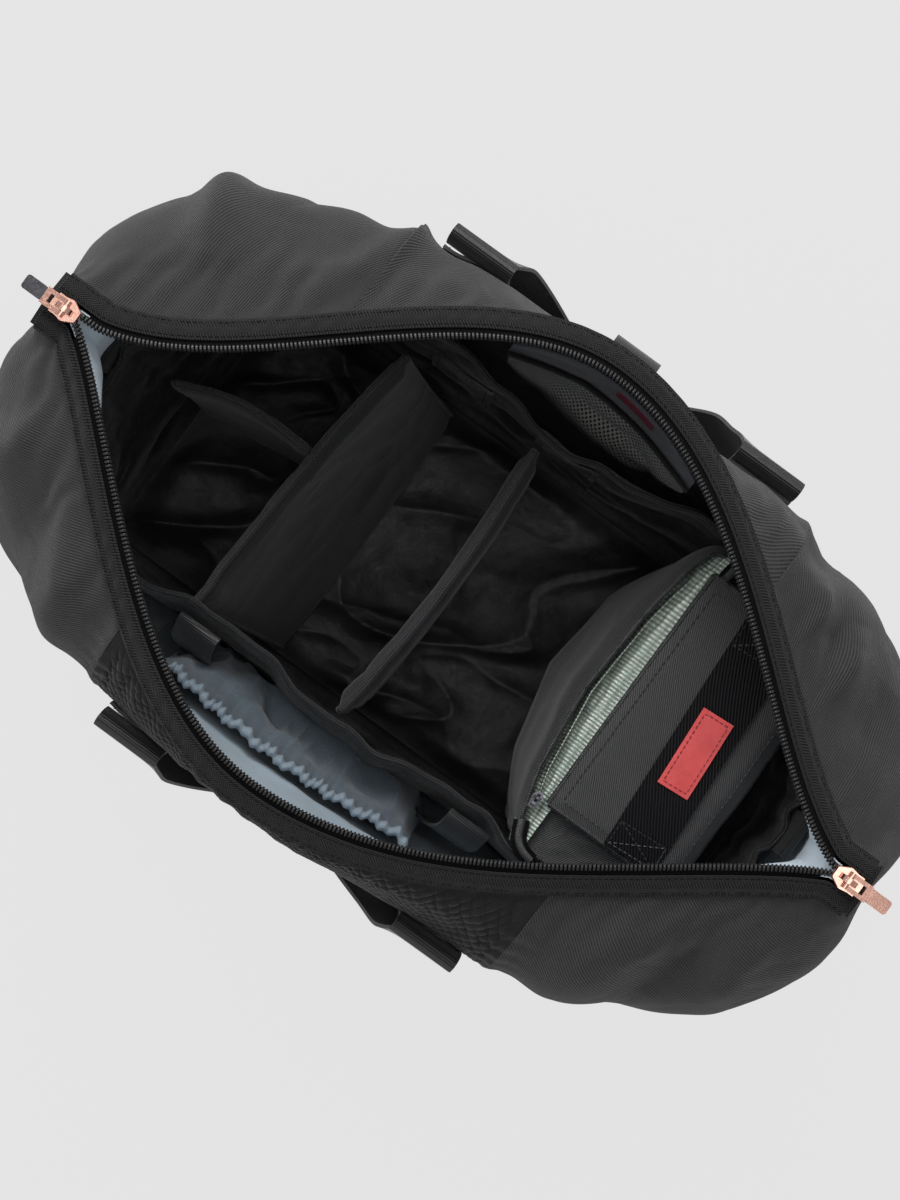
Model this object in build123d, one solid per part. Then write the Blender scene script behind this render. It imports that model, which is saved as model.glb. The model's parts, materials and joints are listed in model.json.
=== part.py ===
"""Baby changing bag: a soft weekender with a two-way zip round its mouth, standing open.

Millimetres, +Z up. The bag stands on Z = 0 with its middle on the origin. X runs along the bag,
-Y is its front, with the embossed panel, and +X is the end that holds the insulated pouch.
Every fabric piece that is cut and sewn on its own is a node of its own.
"""

import math
import os

from build123d import *

# ---- driving dimensions ----
RIM_Z = 280.0  # height of the open mouth
WALL = 2.0  # laminated outer fabric
GAP = 0.4  # between the outer fabric and the lining
LINING = 0.8
SEAM_X = 123.0  # where the front and back panels meet the end panels
BASE_THICK = 2.5
BOARD_THICK = 2.0
FLOOR_Z = 6.3  # what stands in the bag stands here

# Outline of the bag at several heights: (z, half length, half depth, power across, power along)
# for the curve (|x| / half length) ** across + (|y| / half depth) ** along = 1
OUTER_SECTIONS = [
    (0.0, 236.0, 106.0, 5.0, 5.0),
    (75.0, 252.0, 126.0, 4.4, 4.2),
    (150.0, 261.0, 144.0, 3.6, 3.3),
    (215.0, 262.0, 153.0, 3.2, 2.8),
    (252.0, 257.0, 150.0, 2.6, 1.9),
]
# Each side of the open mouth: (where along the bag it opens widest, how wide, power to the left of
# that, power to the right) for the curve  width * cos(quarter turn * share of the way out) ** power
MOUTH = {-1: (-25.0, 142.0, 1.2, 1.22), 1: (0.0, 139.0, 1.9, 1.35)}
MOUTH_END = 243.0
FACETS = 48  # flat strips round the bag, a whole number of quarter turns
CURVE_STEPS = 90  # fine steps along a quarter of an outline
MOUTH_RADIUS = 12.0  # rounding of every outline, which keeps the zip's ends from being sharp

# zip round the mouth
TAPE_REACH = 9.0  # how far the tape stands in from the rim
TAPE_THICK = 0.8
COIL_WIDTH = 3.4
COIL_HEIGHT = 2.8
TAPE_END_X = 224.0
COIL_END_X = 213.0  # the coil stops here, short of the slider's travel
FACING_HEIGHT = 11.0  # ribbon over the zip's outer seam
SLIDER_X = 235.0

# webbing handles
WEB_WIDTH = 38.0
WEB_THICK = 1.8
HANDLE_X = 91.0  # middle of each leg
HANDLE_DROP = 120.0  # from the pivot to the bottom of the hanging loop
HANDLE_PIVOT_Y = 162.5
HANDLE_PIVOT_Z = 232.0
HANDLE_BEND = 5.6  # outer radius of the bend over the pivot

# organiser insert
ORG_LEFT = -188.0
ORG_RIGHT = 184.0
ORG_DEPTH = 180.0
ORG_TOP = 196.0
ORG_WALL = 2.4
ORG_FLOOR = 2.0

# padded dividers
PAD = 8.0
PAD_TOP = 190.0
PAD_SIDE_GAP = 2.0  # room for a tab at each end
LEFT_DIVIDER_X = -86.0
LEFT_DIVIDER_LEAN = 7.0  # degrees, top towards -X
CENTRE_DIVIDER_X = -12.0
CROSS_DIVIDER_Y = 12.0

# insulated pouch
POUCH_LEFT = 93.0
POUCH_RIGHT = 177.0
POUCH_DEPTH = 164.0
POUCH_TOP = 202.0
POUCH_WALL = 3.0
FOIL = 0.6
LID_THICK = 3.5
LID_ROLL = 1.3  # radius of the piping that the lid turns on
LID_PIVOT_X = POUCH_RIGHT - 2.0
LID_PIVOT_Z = POUCH_TOP + 1.7


def save(shape, name):
    export_step(shape, f"parts/{name}.step")


def box(x0, x1, y0, y1, z0, z1):
    """A box between two corners."""
    size = (x1 - x0, y1 - y0, z1 - z0)
    return Pos((x0 + x1) / 2, (y0 + y1) / 2, (z0 + z1) / 2) * Box(*size)


# ---- the bag's form ----
def section_points(section):
    """Points all round one of the outer sections, less the rounding radius."""
    _, half_length, half_depth, across, along = section
    length, depth = half_length - MOUTH_RADIUS, half_depth - MOUTH_RADIUS
    points = []
    for step in range(CURVE_STEPS + 1):
        t = math.pi / 2 * step / CURVE_STEPS
        x = length * math.cos(t) ** (2 / across)
        y = depth * math.sin(t) ** (2 / along)
        points += [(x, y), (-x, y), (x, -y), (-x, -y)]
    return points


def mouth_points():
    """Points all round the open mouth, less the rounding radius."""
    points = []
    for side, (widest_x, width, left_power, right_power) in MOUTH.items():
        for step in range(-CURVE_STEPS, CURVE_STEPS + 1):
            share = step / CURVE_STEPS
            power = left_power if share < 0 else right_power
            room = MOUTH_END - MOUTH_RADIUS - widest_x * math.copysign(1, share)
            y = (width - MOUTH_RADIUS) * max(0.0, math.cos(math.pi / 2 * share)) ** power
            points.append((widest_x + share * room, side * y))
    return points


def reach(points, angle):
    """How far an outline reaches from the middle in one direction, with its rounding."""
    c, s = math.cos(angle), math.sin(angle)
    return max(x * c + y * s for x, y in points) + MOUTH_RADIUS


ANGLES = [2 * math.pi * k / FACETS for k in range(FACETS)]
OUTLINES = [(section[0], section_points(section)) for section in OUTER_SECTIONS]
OUTLINES.append((RIM_Z, mouth_points()))
REACHES = [(z, [reach(points, a) for a in ANGLES]) for z, points in OUTLINES]


def reaches_at(z):
    """The reach in every direction at any height, in a straight line between the sections."""
    for (z0, low), (z1, high) in zip(REACHES, REACHES[1:]):
        if z <= z1:
            share = (z - z0) / (z1 - z0)
            return [a + (b - a) * share for a, b in zip(low, high)]
    return REACHES[-1][1]


def ring(at, inset, z=None):
    """The corners of the bag's outline at height at, inset from its outer surface, drawn at z."""
    z = at if z is None else z
    reaches = [r - inset for r in reaches_at(at)]
    turn = 2 * math.pi / FACETS
    corners = []
    for k in range(FACETS):
        h0, h1 = reaches[k - 1], reaches[k]
        a0, a1 = ANGLES[k - 1], ANGLES[k]
        x = (h0 * math.sin(a1) - h1 * math.sin(a0)) / math.sin(turn)
        y = (h1 * math.cos(a0) - h0 * math.cos(a1)) / math.sin(turn)
        corners.append(Vector(x, y, z))
    return corners


def flat_face(corners):
    return Face(Wire.make_polygon(corners))


def form(inset, z0, z1):
    """The bag's form between two heights as one solid, inset from its outer surface."""
    heights = [z0] + [z for z, _ in REACHES if z0 < z < z1] + [z1]
    rings = [ring(z, inset) for z in heights]
    faces = [flat_face(rings[0]), flat_face(rings[-1])]
    for low, high in zip(rings, rings[1:]):
        for k in range(FACETS):
            faces.append(flat_face([low[k - 1], low[k], high[k], high[k - 1]]))
    return Solid(Shell(faces))


def skin(outer_inset, inner_inset, z0=0.0, z1=RIM_Z):
    """A layer of the bag's form, open at the top and bottom."""
    return form(outer_inset, z0, z1) - form(inner_inset, z0, z1)


def layer(outer_inset, inner_inset, x0, x1, z0, z1, side):
    """A piece of a layer between two lengths and heights, on the front (-1) or back (1)."""
    y0, y1 = sorted((0.0, side * BIG))
    return skin(outer_inset, inner_inset, z0, z1) & box(x0, x1, y0, y1, z0 - 1, z1 + 1)


def plate(inset, z0, z1):
    """A flat plate with the outline of the base."""
    return extrude(flat_face(ring(0.0, inset, z0)), amount=z1 - z0, dir=(0, 0, 1))


BIG = 400.0  # past every face of the bag
FRONT = box(-SEAM_X, SEAM_X, -BIG, 0, -1, BIG)
BACK = box(-SEAM_X, SEAM_X, 0, BIG, -1, BIG)
LEFT = box(-BIG, -SEAM_X, -BIG, BIG, -1, BIG)
RIGHT = box(SEAM_X, BIG, -BIG, BIG, -1, BIG)


def outer_panels():
    """The four outer wall panels and the base, which meet at their seams."""
    wall = skin(0, WALL)
    save(wall & FRONT, "front_panel")
    save(wall & BACK, "back_panel")
    save(wall & LEFT, "left_end_panel")
    save(wall & RIGHT, "right_end_panel")
    save(plate(WALL + GAP, 0, BASE_THICK), "base_panel")
    save(plate(WALL + 3 * GAP, BASE_THICK, BASE_THICK + BOARD_THICK), "base_board")


def lining():
    """The grey lining, sewn from the same pieces, and the lining over the base board."""
    inner = skin(WALL + GAP, WALL + GAP + LINING, FLOOR_Z, RIM_Z - 3)
    save(inner & FRONT, "front_lining")
    save(inner & BACK, "back_lining")
    save(inner & LEFT, "left_end_lining")
    save(inner & RIGHT, "right_end_lining")
    low = BASE_THICK + BOARD_THICK
    save(plate(WALL + 3 * GAP, low, low + LINING), "base_lining")


# ---- zip round the mouth ----
def rim_band(outer_inset, inner_inset, z0, z1, end_x, side):
    """One side of a flat band that follows the rim between -end_x and end_x."""
    up = (0, 0, 1)
    outer = extrude(flat_face(ring(RIM_Z, outer_inset, z0)), z1 - z0, dir=up)
    inner = extrude(flat_face(ring(RIM_Z, inner_inset, z0)), z1 - z0, dir=up)
    y0, y1 = sorted((0.0, side * BIG))
    return (outer - inner) & box(-end_x, end_x, y0, y1, 0, BIG)


def mouth_zip():
    """Both sides of the zip: ribbon facing, tape and coil, and the sewn tab at each end."""
    tape_z = RIM_Z + 0.1
    tape_top = tape_z + TAPE_THICK
    coil = (TAPE_REACH - COIL_WIDTH, TAPE_REACH, tape_top + 0.1, tape_top + 0.1 + COIL_HEIGHT)
    facing_z = RIM_Z - FACING_HEIGHT
    for name, side in (("front", -1), ("back", 1)):
        facing = layer(-1.0, -0.3, -TAPE_END_X, TAPE_END_X, facing_z, RIM_Z, side)
        save(facing, f"{name}_zip_facing")
        save(rim_band(0.2, TAPE_REACH, tape_z, tape_top, TAPE_END_X, side), f"{name}_zip_tape")
        save(rim_band(*coil, COIL_END_X, side), f"{name}_zip_coil")
    tabs = []
    for end in (-1, 1):
        tab = Pos(end * (SLIDER_X + 1), 0, RIM_Z + 0.7) * Box(20, 14, 1.2)
        tabs.append(fillet(tab.edges().filter_by(Axis.Z), 3))
    save(Compound(children=tabs), "zip_end_tabs")


# ---- zip sliders and pullers ----
SLIDER_LENGTH = 15.0
SLIDER_WIDTH = 12.0
SLIDER_PLATE = 1.4
SLIDER_HEIGHT = 6.2
BAIL_OUTER = 4.6
BAIL_INNER = 2.6
BAIL_WIDTH = 3.0
PIVOT_HEIGHT = SLIDER_HEIGHT + 2.0  # the puller's pivot above the slider's underside
SLIDER_Z = RIM_Z + 1.5  # underside of the main sliders
PULLER_LENGTH = 24.0
PULLER_WIDTH = 9.0
PULLER_THICK = 1.8
PULLER_LIE = 84.0  # degrees from hanging to lying back along the slider's tail
PIN_RADIUS = 1.4
SMALL = 0.5  # size of the two small sliders


def slider(scale):
    """A zip slider pointing along +X, standing on z = 0: two plates, a diamond post and a bail."""
    nose = SLIDER_LENGTH / 2
    outline = [
        (nose, -SLIDER_WIDTH * 0.24),
        (nose, SLIDER_WIDTH * 0.24),
        (nose * 0.2, SLIDER_WIDTH / 2),
        (-nose, SLIDER_WIDTH * 0.36),
        (-nose, -SLIDER_WIDTH * 0.36),
        (nose * 0.2, -SLIDER_WIDTH / 2),
    ]
    face = make_face(Polyline(*outline, close=True))
    blade = extrude(face, SLIDER_PLATE)
    blade = fillet(blade.edges().filter_by(Axis.Z), 1.2)
    top_z = SLIDER_HEIGHT - SLIDER_PLATE
    post_face = make_face(Polyline((nose, 0), (2.5, 1.8), (-0.5, 0), (2.5, -1.8), close=True))
    post = Pos(0, 0, SLIDER_PLATE / 2) * extrude(post_face, top_z)
    body = blade + Pos(0, 0, top_z) * blade + post
    for side in (-1, 1):
        rail = Pos(-2.4, side * SLIDER_WIDTH * 0.4, SLIDER_HEIGHT / 2) * Box(7.5, 0.9, SLIDER_HEIGHT)
        body += rail
    bail = Cylinder(BAIL_OUTER, BAIL_WIDTH) - Cylinder(BAIL_INNER, BAIL_WIDTH)
    bail = Pos(0, 0, PIVOT_HEIGHT) * Rot(90, 0, 0) * bail
    body += bail & box(-BIG, BIG, -BIG, BIG, SLIDER_HEIGHT - SLIDER_PLATE / 2, BIG)
    return body.scale(scale)


def laid_back(shape, scale):
    """A puller's piece, drawn hanging from the origin, laid along the tail of its slider."""
    return Pos(0, 0, PIVOT_HEIGHT * scale) * Rot(0, PULLER_LIE, 0) * shape.scale(scale)


def puller_frame(scale):
    """The puller's frame, whose bar runs through the bail."""
    frame = Rot(90, 0, 0) * Cylinder(PIN_RADIUS, PULLER_WIDTH)
    for side in (-1, 1):
        frame += Pos(0, side * (PULLER_WIDTH / 2 - 1.1), -5) * Box(PULLER_THICK, 2.2, 10)
    frame += Pos(0, 0, 1.5 - PULLER_LENGTH / 2) * Box(PULLER_THICK + 0.4, PULLER_WIDTH, 3)
    return laid_back(frame, scale)


def puller_tab(scale):
    """The soft tab held in the puller's frame."""
    length = PULLER_LENGTH / 2
    tab = Box(PULLER_THICK, PULLER_WIDTH - 1.4, length)
    tab = fillet(tab.edges().filter_by(Axis.X), 1.6)
    return laid_back(Pos(0, 0, -PULLER_LENGTH + length / 2) * tab, scale)


def main_sliders():
    """One slider, puller and tab at each end of the mouth, noses pointing in along the zip."""
    for name, end in (("left", -1), ("right", 1)):
        place = Pos(end * SLIDER_X, 0, SLIDER_Z) * Rot(0, 0, 90 + end * 90)
        save(place * slider(1.0), f"{name}_slider")
        save(place * puller_frame(1.0), f"{name}_puller")
        save(place * puller_tab(1.0), f"{name}_puller_tab")


# ---- webbing handles ----
def handle_loop():
    """A front handle hanging from its pivot: two legs that bend over it and a loop below."""
    leg_y = -HANDLE_PIVOT_Y - HANDLE_BEND + WEB_THICK / 2
    inner_x, outer_x = HANDLE_X - WEB_WIDTH / 2, HANDLE_X + WEB_WIDTH / 2
    straight = HANDLE_DROP - outer_x * 0.62
    outer_face = Pos(0, -straight) * Ellipse(outer_x, outer_x * 0.62)
    outer_face += Pos(0, -straight / 2) * Rectangle(2 * outer_x, straight)
    inner_face = Pos(0, -straight) * Ellipse(inner_x, outer_x * 0.62 - WEB_WIDTH)
    inner_face += Pos(0, -straight / 2) * Rectangle(2 * inner_x, straight)
    flat = (outer_face - inner_face) & (Pos(0, -BIG / 2) * Rectangle(BIG * 2, BIG))
    band = extrude(flat, WEB_THICK / 2, both=True)
    band = Pos(0, leg_y, HANDLE_PIVOT_Z) * Rot(90, 0, 0) * band
    loop = band
    for side in (-1, 1):
        bend = Cylinder(HANDLE_BEND, WEB_WIDTH) - Cylinder(HANDLE_BEND - WEB_THICK, WEB_WIDTH)
        bend = bend & box(-BIG, BIG, 0, BIG, -BIG, BIG)
        place = Pos(side * HANDLE_X, -HANDLE_PIVOT_Y, HANDLE_PIVOT_Z) * Rot(0, 90, 0) * Rot(0, 0, 90)
        loop += place * bend
    return loop


def handle_straps():
    """The stretch of each front handle leg that is sewn to the panel, below the pivot."""
    top = HANDLE_PIVOT_Z - HANDLE_BEND - 0.8
    half = WEB_WIDTH / 2
    straps = []
    for x in (-HANDLE_X, HANDLE_X):
        straps.append(layer(-0.3 - WEB_THICK, -0.3, x - half, x + half, 40, top, -1))
    return straps


def handles():
    """Front and back handles. The back ones are the front ones turned half round."""
    loop, straps = handle_loop(), handle_straps()
    turn = Rot(0, 0, 180)
    save(loop, "front_handle")
    save(turn * loop, "back_handle")
    save(Compound(children=straps), "front_handle_straps")
    save(Compound(children=[turn * strap for strap in straps]), "back_handle_straps")


def hang_loop():
    """A folded webbing tab on the middle of the back panel, below the rim."""
    width, out, z = 22.0, 9.0, 262.0
    y = 149.0
    upper = box(-width / 2, width / 2, y, y + out, z + 1.2, z + 2.6)
    lower = box(-width / 2, width / 2, y, y + out, z - 2.6, z - 1.2)
    fold = Pos(0, y + out, z) * Rot(0, 90, 0) * (Cylinder(2.6, width) - Cylinder(1.2, width))
    fold = fold & box(-BIG, BIG, y + out, BIG, 0, BIG)
    save(upper + lower + fold, "back_hang_loop")


# ---- pockets on the lining ----
INSIDE = WALL + GAP + LINING  # how far the lining's inner face is inset
ELASTIC = (-104.0, 56.0, 70.0, 196.0)  # left, right, bottom and top of the elastic pocket
ELASTIC_FULL = 22.0  # how far it stands off the lining
MESH = (-78.0, 96.0, 90.0, 214.0)
MESH_FULL = 20.0
MESH_SLIDER_Y = 127.4


def patch_pocket(bounds, fullness, cloth, side):
    """An open-topped pocket that stands off the lining: its face, two sides and bottom."""
    x0, x1, z0, z1 = bounds
    near, far = INSIDE + 0.3, INSIDE + fullness
    pocket = layer(far, far + cloth, x0, x1, z0, z1, side)
    pocket += layer(near, far, x0, x0 + cloth, z0, z1, side)
    pocket += layer(near, far, x1 - cloth, x1, z0, z1, side)
    pocket += layer(near, far, x0 + cloth, x1 - cloth, z0, z0 + cloth, side)
    return pocket


def pockets():
    """The elastic pocket on the front lining and the zipped mesh pocket on the back lining."""
    save(patch_pocket(ELASTIC, ELASTIC_FULL, 1.0, -1), "elastic_pocket")
    x0, x1, _, top = ELASTIC
    hem = (INSIDE + ELASTIC_FULL - 0.5, INSIDE + ELASTIC_FULL + 4)
    save(layer(*hem, x0, x1, top + 0.3, top + 9, -1), "elastic_pocket_hem")
    save(patch_pocket(MESH, MESH_FULL, 0.8, 1), "mesh_pocket")
    x0, x1, _, top = MESH
    band = (INSIDE + MESH_FULL - 1, INSIDE + MESH_FULL)
    save(layer(*band, x0, x1, top + 0.5, top + 22, 1), "mesh_pocket_zip")
    save(layer(INSIDE + 0.3, INSIDE + 0.9, 6, 30, 246, 262, 1), "lining_label")


def mesh_zip_slider():
    """The small slider and puller of the mesh pocket's zip, at its left end."""
    place = Pos(-66, MESH_SLIDER_Y, 226) * Rot(90, 0, 0)
    save(place * slider(SMALL), "mesh_zip_slider")
    save(place * puller_frame(SMALL), "mesh_zip_puller")


# ---- organiser insert ----
def organiser():
    """The removable insert: floor, four walls, bound edges, two end handles and a front strap."""
    half = ORG_DEPTH / 2
    z0, z1 = FLOOR_Z + ORG_FLOOR, ORG_TOP
    save(box(ORG_LEFT, ORG_RIGHT, -half, half, FLOOR_Z, z0), "organiser_floor")
    inner_left, inner_right = ORG_LEFT + ORG_WALL, ORG_RIGHT - ORG_WALL
    save(box(inner_left, inner_right, -half, -half + ORG_WALL, z0, z1), "organiser_front_wall")
    save(box(inner_left, inner_right, half - ORG_WALL, half, z0, z1), "organiser_back_wall")
    save(box(ORG_LEFT, inner_left, -half, half, z0, z1), "organiser_left_wall")
    save(box(inner_right, ORG_RIGHT, -half, half, z0, z1), "organiser_right_wall")
    edge = 0.8
    frame = box(ORG_LEFT - edge, ORG_RIGHT + edge, -half - edge, half + edge, z1 + 0.1, z1 + 2.6)
    inner_y = half - ORG_WALL - 0.2
    frame -= box(inner_left + edge, inner_right - edge, -inner_y, inner_y, 0, BIG)
    save(frame, "organiser_binding")
    save(Compound(children=organiser_end_handles()), "organiser_end_handles")
    save(organiser_front_strap(), "organiser_front_strap")


def organiser_end_handles():
    """A webbing strap down the outside of each end wall, standing off it at the top as a loop."""
    width, z0, z1 = 25.0, 96.0, 190.0
    handles_made = []
    for end, wall_x in ((-1, ORG_LEFT), (1, ORG_RIGHT)):
        near, far = wall_x + end * 0.4, wall_x + end * 9.0
        strap = box(*sorted((far, far - end * WEB_THICK)), -width / 2, width / 2, z0, z1)
        for z in (z0, z1 - WEB_THICK):
            strap += box(*sorted((near, far)), -width / 2, width / 2, z, z + WEB_THICK)
        handles_made.append(strap)
    return handles_made


def organiser_front_strap():
    """The carrying strap on the outside of the front wall: two sewn legs and a slack loop."""
    y = -ORG_DEPTH / 2 - 0.3
    width, z_top, z_low = 30.0, 188.0, 100.0
    legs = None
    for x in (-88.0, 75.0):
        leg = box(x - width / 2, x + width / 2, y - WEB_THICK, y, z_low, z_top)
        legs = leg if legs is None else legs + leg
    run = box(-88.0 + width / 2, 75.0 - width / 2, y - WEB_THICK, y, z_low, z_low + width)
    return legs + run


def rounded_pad(length, height, thick, radius):
    """An upright padded board in the YZ plane with softened edges, standing on z = 0."""
    pad = Pos(0, 0, height / 2) * Box(thick, length, height)
    return fillet(pad.edges(), radius)


def divider_tabs(x0):
    """The hook-and-loop tabs sewn to both ends of a full-width divider, from x0 towards +X."""
    near = ORG_DEPTH / 2 - ORG_WALL - PAD_SIDE_GAP + 0.1
    tabs = []
    for side in (-1, 1):
        y0, y1 = sorted((side * near, side * (near + 1.4)))
        tabs.append(box(x0, x0 + 40, y0, y1, 60, 130))
    return Compound(children=tabs)


def dividers():
    """Three padded dividers and the hook-and-loop tabs that hold the two full-width ones."""
    length = ORG_DEPTH - 2 * ORG_WALL - 2 * PAD_SIDE_GAP
    z0 = FLOOR_Z + ORG_FLOOR + 0.6
    height = PAD_TOP - z0
    pad = rounded_pad(length, height, PAD, 2.5)
    lean = Pos(0, 0, height / 2) * Rot(0, -LEFT_DIVIDER_LEAN, 0) * Pos(0, 0, -height / 2)
    save(Pos(LEFT_DIVIDER_X, 0, z0 + 1.2) * lean * pad, "divider_left")
    save(Pos(CENTRE_DIVIDER_X, 0, z0) * pad, "divider_centre")
    cross_left = ORG_LEFT + ORG_WALL + PAD_SIDE_GAP
    cross_length = LEFT_DIVIDER_X - 20 - cross_left
    cross = rounded_pad(cross_length, height - 6, PAD * 0.75, 2.2)
    cross_place = Pos(cross_left + cross_length / 2, CROSS_DIVIDER_Y, z0)
    save(cross_place * Rot(0, 0, 90) * cross, "divider_cross")
    save(divider_tabs(LEFT_DIVIDER_X - PAD / 2), "divider_left_tabs")
    save(divider_tabs(CENTRE_DIVIDER_X - PAD / 2), "divider_centre_tabs")


# ---- insulated pouch ----
def pouch():
    """The insulated pouch: soft box, foil lining, zip along the top, lid, strap and patch."""
    half = POUCH_DEPTH / 2
    z0 = FLOOR_Z + ORG_FLOOR + 0.3
    shell = box(POUCH_LEFT, POUCH_RIGHT, -half, half, z0, POUCH_TOP)
    wall = POUCH_WALL
    hollow = box(POUCH_LEFT + wall, POUCH_RIGHT - wall, -half + wall, half - wall, z0 + wall, BIG)
    shell = fillet(shell.edges().filter_by(Axis.Z), 6) - hollow
    save(shell, "pouch_shell")
    inset = wall + 0.2
    foil_x = (POUCH_LEFT + inset, POUCH_RIGHT - inset)
    foil = box(*foil_x, -half + inset, half - inset, z0 + inset, POUCH_TOP)
    foil -= box(foil_x[0] + FOIL, foil_x[1] - FOIL, -half + inset + FOIL, half - inset - FOIL,
                z0 + inset + FOIL, BIG)
    save(foil, "pouch_foil_lining")
    lid_z = POUCH_TOP + 3.0
    lid_left = POUCH_LEFT + 9
    lid = box(lid_left, POUCH_RIGHT, -half + 2, half - 2, lid_z, lid_z + LID_THICK)
    lid = fillet(lid.edges().filter_by(Axis.Z), 8)
    roll_length = POUCH_DEPTH - 24
    roll = Pos(LID_PIVOT_X, 0, LID_PIVOT_Z) * Rot(90, 0, 0) * Cylinder(LID_ROLL, roll_length)
    web = Pos(LID_PIVOT_X, 0, (LID_PIVOT_Z + lid_z) / 2) * Box(LID_ROLL, roll_length, 2 * LID_ROLL)
    save(lid + roll + web, "pouch_lid")
    lid_foil = box(lid_left + 3, POUCH_RIGHT - 6, -half + 7, half - 7, lid_z - 0.8, lid_z - 0.2)
    save(lid_foil, "pouch_lid_foil")
    zip_band = box(POUCH_LEFT + 0.4, POUCH_LEFT + 4.6, -half + 6, half - 12, POUCH_TOP + 0.2,
                   POUCH_TOP + 1.4)
    save(zip_band, "pouch_zip")
    strap_x = (POUCH_LEFT + POUCH_RIGHT) / 2 + 1
    strap_z = lid_z + LID_THICK
    strap = box(strap_x - 18, strap_x + 18, -half + 12, half - 12, strap_z + 0.2, strap_z + 2.0)
    save(strap, "pouch_strap")
    patch = box(strap_x - 9.5, strap_x + 9.5, -22, 22, strap_z + 2.2, strap_z + 3.4)
    save(fillet(patch.edges().filter_by(Axis.Z), 1.0), "pouch_patch")
    place = Pos(POUCH_LEFT + 2.5, -half + 22, POUCH_TOP + 1.7) * Rot(0, 0, 90)
    save(place * slider(SMALL), "pouch_zip_slider")
    save(place * puller_frame(SMALL), "pouch_zip_puller")


def main():
    os.makedirs("parts", exist_ok=True)
    outer_panels()
    lining()
    mouth_zip()
    main_sliders()
    handles()
    hang_loop()
    pockets()
    mesh_zip_slider()
    organiser()
    dividers()
    pouch()


main()
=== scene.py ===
"""Looks of an open changing bag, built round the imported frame.

Metres, +Z up. X runs along the bag, -Y is its front with the embossed panel, and +X is the end
with the insulated pouch. Every fabric piece is a closed mesh with its own thickness.
"""

import json
import math

import bpy
import numpy as np
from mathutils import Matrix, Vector

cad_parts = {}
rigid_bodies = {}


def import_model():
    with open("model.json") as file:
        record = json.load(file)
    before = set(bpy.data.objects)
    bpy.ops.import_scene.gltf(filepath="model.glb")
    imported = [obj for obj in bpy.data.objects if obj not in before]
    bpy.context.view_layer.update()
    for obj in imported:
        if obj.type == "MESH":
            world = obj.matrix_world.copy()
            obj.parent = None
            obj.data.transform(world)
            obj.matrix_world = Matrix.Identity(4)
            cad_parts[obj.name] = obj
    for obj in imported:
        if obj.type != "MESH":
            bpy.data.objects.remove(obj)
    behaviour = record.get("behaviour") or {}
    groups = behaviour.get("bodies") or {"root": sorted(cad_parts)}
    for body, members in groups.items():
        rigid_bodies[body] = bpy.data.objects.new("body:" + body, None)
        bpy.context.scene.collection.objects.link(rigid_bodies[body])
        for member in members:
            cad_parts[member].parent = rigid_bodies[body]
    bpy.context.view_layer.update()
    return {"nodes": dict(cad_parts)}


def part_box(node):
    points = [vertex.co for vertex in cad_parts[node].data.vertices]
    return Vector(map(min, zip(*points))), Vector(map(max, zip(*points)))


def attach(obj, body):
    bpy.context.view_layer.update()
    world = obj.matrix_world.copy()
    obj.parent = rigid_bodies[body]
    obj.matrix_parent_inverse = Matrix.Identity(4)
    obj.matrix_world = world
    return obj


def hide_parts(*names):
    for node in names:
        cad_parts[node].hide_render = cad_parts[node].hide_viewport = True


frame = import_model()

# ---- driving dimensions, in metres, from the frame where the frame has them ----
RIM_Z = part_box("front_panel")[1].z
SEAM_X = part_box("front_panel")[1].x
ORG_LOW, ORG_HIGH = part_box("organiser_binding")
ORG_TOP = ORG_HIGH.z
POUCH_LOW, POUCH_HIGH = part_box("pouch_shell")
LID_LOW, LID_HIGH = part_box("pouch_lid")

# The bag's outline at several heights, as in the CAD: (z, half length, half depth, across, along)
# for the curve (|x| / half length) ** across + (|y| / half depth) ** along = 1
SECTIONS = [
    (0.000, 0.236, 0.106, 5.0, 5.0),
    (0.040, 0.246, 0.117, 4.7, 4.6),
    (0.090, 0.254, 0.130, 4.2, 4.0),
    (0.150, 0.261, 0.144, 3.4, 3.0),
    (0.200, 0.263, 0.151, 3.0, 2.6),
    (0.240, 0.260, 0.150, 2.7, 2.15),
]
# The rows that tuck under the bag: (share of the length, how far inside the lowest outline, z)
TUCKED = ((0.985, 0.009, 0.0012), (0.997, 0.0015, 0.0060))
# The zip's coil line on each side: where it opens widest, how wide, power left and right of that
COIL = {-1: (-0.025, 0.133, 1.20, 1.22), 1: (0.0, 0.131, 1.9, 1.42)}
COIL_END = 0.233
COIL_Z = RIM_Z + 0.0022
COIL_PITCH = 0.0020
TAPE_END_X = 0.244
BINDING_IN = 0.0042  # the ribbon binding starts here, outside the coil line
BINDING_OUT = 0.0145
FABRIC_EDGE = 0.0120  # the outer fabric's top edge, under the ribbon
SHELL_THICK = 0.0016
NARROWEST_SHEET = 0.010
WEBBING_WIDE, WEBBING_THICK = 0.038, 0.0019
UP = np.array([0, 0, 1.0])
SIDES = ((-1, "front"), (1, "back"))
ENDS = ((-1, "left"), (1, "right"))


# ---- numbers ----
def lattice(ix, iy, iz, seed):
    """Repeatable values from -1 to 1 at whole-number points."""
    mask = np.uint64(0xFFFFFFFF)
    h = (ix.astype(np.uint64) * np.uint64(73856093)) & mask
    h ^= (iy.astype(np.uint64) * np.uint64(19349663)) & mask
    h ^= (iz.astype(np.uint64) * np.uint64(83492791)) & mask
    h ^= np.uint64(seed * 2654435 + 12345)
    for prime, shift in ((2246822519, 13), (3266489917, 16)):
        h = (h * np.uint64(prime)) & mask
        h ^= h >> np.uint64(shift)
    return h.astype(float) / 2147483647.5 - 1.0


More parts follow.
